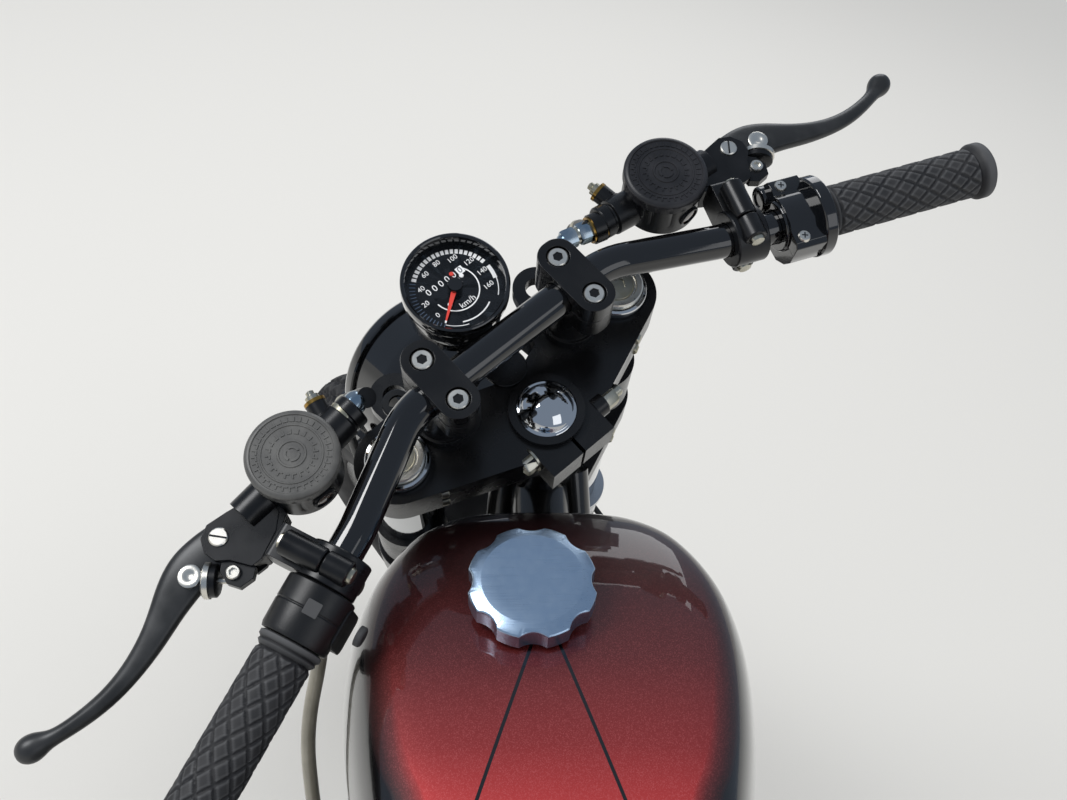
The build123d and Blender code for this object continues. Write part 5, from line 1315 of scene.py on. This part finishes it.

# Shock absorbers: chromed spring over a black body, black shroud on top
shock = {
    "foot": (60, 137, 352), "head": (118, 139, 700), "turns": 11, "from": 42, "to": 262, "coil": 22.6, "wire": 3.9,
    "stations": 22,
    "body": "10 14, 14 15, 14 32, 24 33, 27 35, 27 38, 25 39.5, 17 40, 17 150, 8 152, 8 262, 27 264, 28.6 267, 29 272, "
            "29 329, 27.4 332, 14 337, 13 341, 6 341",
}
shockFrame = along(shock["foot"], shock["head"])
helix = []
for number in range(shock["turns"] * shock["stations"] + 1):
    share = number / shock["stations"]
    helix.append((*circle(shock["coil"], 2 * pi * share),
                  shock["from"] + (shock["to"] - shock["from"]) * share / shock["turns"]))
addBoth(swept(helix, fullCircle(shock["wire"], 10)), shockFrame)
finishPiece("shockSprings", "chassis", "chromePlate", "chrome", 60)
addBoth(turned(shock["body"], 44), shockFrame)
for end in ("foot", "head"):
    eye = move(*shock[end]) @ turn(90, "X")
    addBoth(turned("7.3 -13, 15 -13, 16 -12, 16 12, 15 13, 7.3 13, 7.3 -13", 36), eye)
    addBoth(turned("7.3 13.2, 11.6 13.2, 11.6 14.8, 7.3 14.8, 7.3 13.2", 28), eye, 1)
    addBoth(hexHead(17, 8), eye @ move(0, 0, -22) @ Matrix.Rotation(0.3, 4, "Z"), 1)
for level in (34.5, 36.5):
    addBoth(turned("24 -0.4, 27.6 0, 27.6 0.9, 24 1.3", 40), shockFrame @ move(0, 0, level), 1)
finishPiece("shockBodies", "chassis", "stoveEnamel zincPlate", "shock_black", 36, "rear_shocks")
print("shock absorbers made")

# Drive chain: pairs of outer and inner links along the run over both sprockets
chain = {
    # x, z and radius of each sprocket
    "rear": (0, 328, 86), "front": (548, 352, 34), "y": 76, "units": 46, "plate": 6.9, "arcSteps": 40,
    # roller and pin, plates from low to high: outer pair, then inner
    "pins": (("4.9 -4.2, 4.9 4.2", 10), ("2.4 -8, 2.4 8", 8)), "outer": ((6.1, 7.6), (-7.6, -6.1)),
    "inner": ((4.4, 5.9), (-5.9, -4.4)),
}
(backX, backZ, backRadius), (foreX, foreZ, foreRadius) = chain["rear"], chain["front"]
lean = atan2(foreZ - backZ, foreX - backX)
wrap = asin((backRadius - foreRadius) / hypot(foreX - backX, foreZ - backZ))
track = []
for (x, z, radius), begin, end in ((chain["rear"], lean + pi / 2 - wrap, lean + 3 * pi / 2 + wrap),
                                   (chain["front"], lean - pi / 2 + wrap, lean + pi / 2 - wrap)):
    for number in range(chain["arcSteps"] + 1):
        forward, upwards = circle(radius, begin + (end - begin) * number / chain["arcSteps"])
        track.append(Vector((x + forward, chain["y"], z + upwards)))
track.append(track[0].copy())
pitch = lengthOf(track) / (2 * chain["units"])


def linkPlate(start, low, high):
    waist, reach = chain["plate"] * 0.74, chain["plate"]
    return plank([*arc(reach, -90, 90, 6, start + pitch), (start + pitch / 2, waist),
                  *arc(reach, 90, 270, 6, start), (start + pitch / 2, -waist)], low, high)


link = [linkPlate(0, *levels) for levels in chain["outer"]] + [linkPlate(pitch, *levels) for levels in chain["inner"]]
for at in (0, pitch):
    for steps, sides in chain["pins"]:
        points, faces = turned(steps, sides)
        link.append(([(x + at, y, z) for x, y, z in points], faces))
grow("chainLinks", "along", link, "chassis", "oiledSteel", "chain_steel", replaces="drive_chain",
     seed=curveThrough("chainRun", track, "POLY"), count=chain["units"] + 1, normal=(0, 1, 0))
print("chain made")

# Headlight: black rim, reflector and bulb behind a fluted glass
headlamp = {
    "centre": (110, 0, -172), "tilt": 115,
    "rim": "67 29.5, 70 29.5, 71 30.4, 71 37, 70 39.6, 67.6 41.6, 65 42.2, 63.2 41.2, 62.8 39, 62.8 31, 67 29.5",
    "reflector": "62.8 38.4, 54 35.6, 40 32.8, 22 31, 9 30.6",
    "bulb": "9 30.6, 9 35, 6 36, 6 44, 4 46, 1 46.4",
    "glass": "62.9 38.8, 62.4 40.6, 48 44.2, 30 47.6, 12 49.6, 3 50, 3 48.4, 12 48, 30 46, 48 42.6, 62.9 38.8",
}
lampPlace = steerPlace @ move(*headlamp["centre"]) @ turn(headlamp["tilt"], "Y")
for part, sides, finish in (("rim", 96, 2), ("reflector", 72, 1), ("bulb", 28, 0)):
    add(turned(headlamp[part], sides), finish=finish)
finishPiece("lampRim", "steering", "chromePlate buffedAluminium blackLacquer", "headlamp_glass", 34,
            "headlight_lens", lampPlace)
add(turned(headlamp["glass"], 72))
finishPiece("lampGlass", "steering", "lampGlass", "headlamp_glass", 60, place=lampPlace)

# Engine dress: cover screws, spark plugs with their leads, finned clamps at the ports, clamps on the silencers
engine = {
    # side, x, z, ring and height of the screws, their number
    "covers": ((-1, 642, 362, 70.5, 25, 8), (-1, 800, 347, 50.5, 17, 6), (1, 792, 352, 60.5, 27, 7)),
    "place": move(705, 0, 455) @ turn(12, "Y"), "cylinders": (52, -52), "pipe": (163, 262), "lead": 3.6,
    "plugCap": "6 12, 8.5 13, 8.5 20, 7.5 22, 11 23, 11.6 26, 11.6 44, 10 52, 7.4 54, 7.4 58",
}
for number, (side, x, z, radius, height, screws) in enumerate(engine["covers"], 1):
    growRing(f"coverScrews{number}", [socketHead(4.6, 6.5, 5, 3)], "chassis", "zincPlate", "zinc_steel", screws,
             radius, 0.3, height=height, place=bikePlace @ move(x, side * 115, z) @ turn(-90 * side, "X"))
for y in engine["cylinders"]:
    at = engine["place"] @ along((58, y, 158), (90, y * 1.35, 182))
    add(hexHead(21, 10), at @ move(0, 0, 4))
    add(turned(engine["plugCap"], 28), at, 1)
    lead = [at @ Vector((0, 0, 56)), at @ Vector((0, 0, 82)), (835, y * 1.5, 690), (800, y * 1.1, 712),
            (770, y * 0.9, 706)]
    add(swept(smoothLine(lead, 10), fullCircle(engine["lead"], 12), up=(0, 1, 0)), finish=1)
    fins = repeated("31 0.6, 31 2.8, 25 3.4", 4, 0, 5)
    add(turned([(25, 0), *fins, (19.4, 20)]), engine["place"] @ along((78, y, 137), (100, y, 137)), 2)
    pipeY, pipeZ = copysign(engine["pipe"][0], y), engine["pipe"][1]
    add(turned("20.5 0, 23.4 0.4, 23.4 11.6, 20.5 12"), along((472, pipeY, pipeZ), (448, pipeY, pipeZ)), 3)
    add(hexHead(11, 8), move(460, pipeY, pipeZ + 23), 3)
finishPiece("engineFittings", "chassis", "zincPlate gripRubber buffedAluminium stainlessSteel", "engine_black", 36)

# Rear end: ribbed red lens in a chromed rim, plate with its raised border, two bolts, peg rubbers
rearEnd = {"lens": (-194.3, 0, 796), "plate": (-222, 0, 696), "plateTilt": 4, "border": 6, "bolt": (40, 70),
           "peg": ((410, 158, 390), (410, 250, 390))}
lensPlace = move(*rearEnd["lens"]) @ turn(-90, "Y")
add(turned("30 -26, 33 -25, 33 -2, 31.6 0.4, 29.6 0.4, 29.2 -2, 30 -26", 72), lensPlace, 1)
ribs = repeated("28.4 0.2, 26.9 1.5", 9, -3, 0.3)
add(turned([(29.6, -25), (29.6, -1.6), *ribs, (1, 3.6)], 72), lensPlace)
finishPiece("rearLamp", "chassis", "redAcrylic chromePlate", "red_lens", 30, "tail_light")
platePlace = move(*rearEnd["plate"]) @ turn(rearEnd["plateTilt"], "Y") @ turn(-90, "Y")
outer, inner = roundedBox(110, 180, 8), roundedBox(110 - rearEnd["border"], 180 - rearEnd["border"], 5)
add(skinOf([[(x, y, 1.3) for x, y in outer], [(x, y, 2.2) for x, y in inner],
            [(x * 0.985, y * 0.99, 1.3) for x, y in inner]], loop=True), platePlace)
x, y = rearEnd["bolt"]
for side in (-1, 1):
    add(turned("3.3 -7, 3.3 1.6, 6.6 1.6, 6.4 3.4, 4.4 4.6, 1 5", 24), platePlace @ move(x, side * y, 0), 1)
finishPiece("plateTrim", "chassis", "plateWhite zincPlate", "plate_blank", 30)
ribs = repeated("14.6 1, 14.6 5.4, 12.6 6.4, 12.6 7.8", 11, 0, 8)
for side in (1, -1):
    add(turned([(11.2, 0), *ribs, (15.6, 89), (15.6, 93), (13, 94.5)], 40),
        along(*[(x, side * y, z) for x, y, z in rearEnd["peg"]]))
finishPiece("pegRubbers", "chassis", "gripRubber", "black_anodised", 36)
print("rear end made")
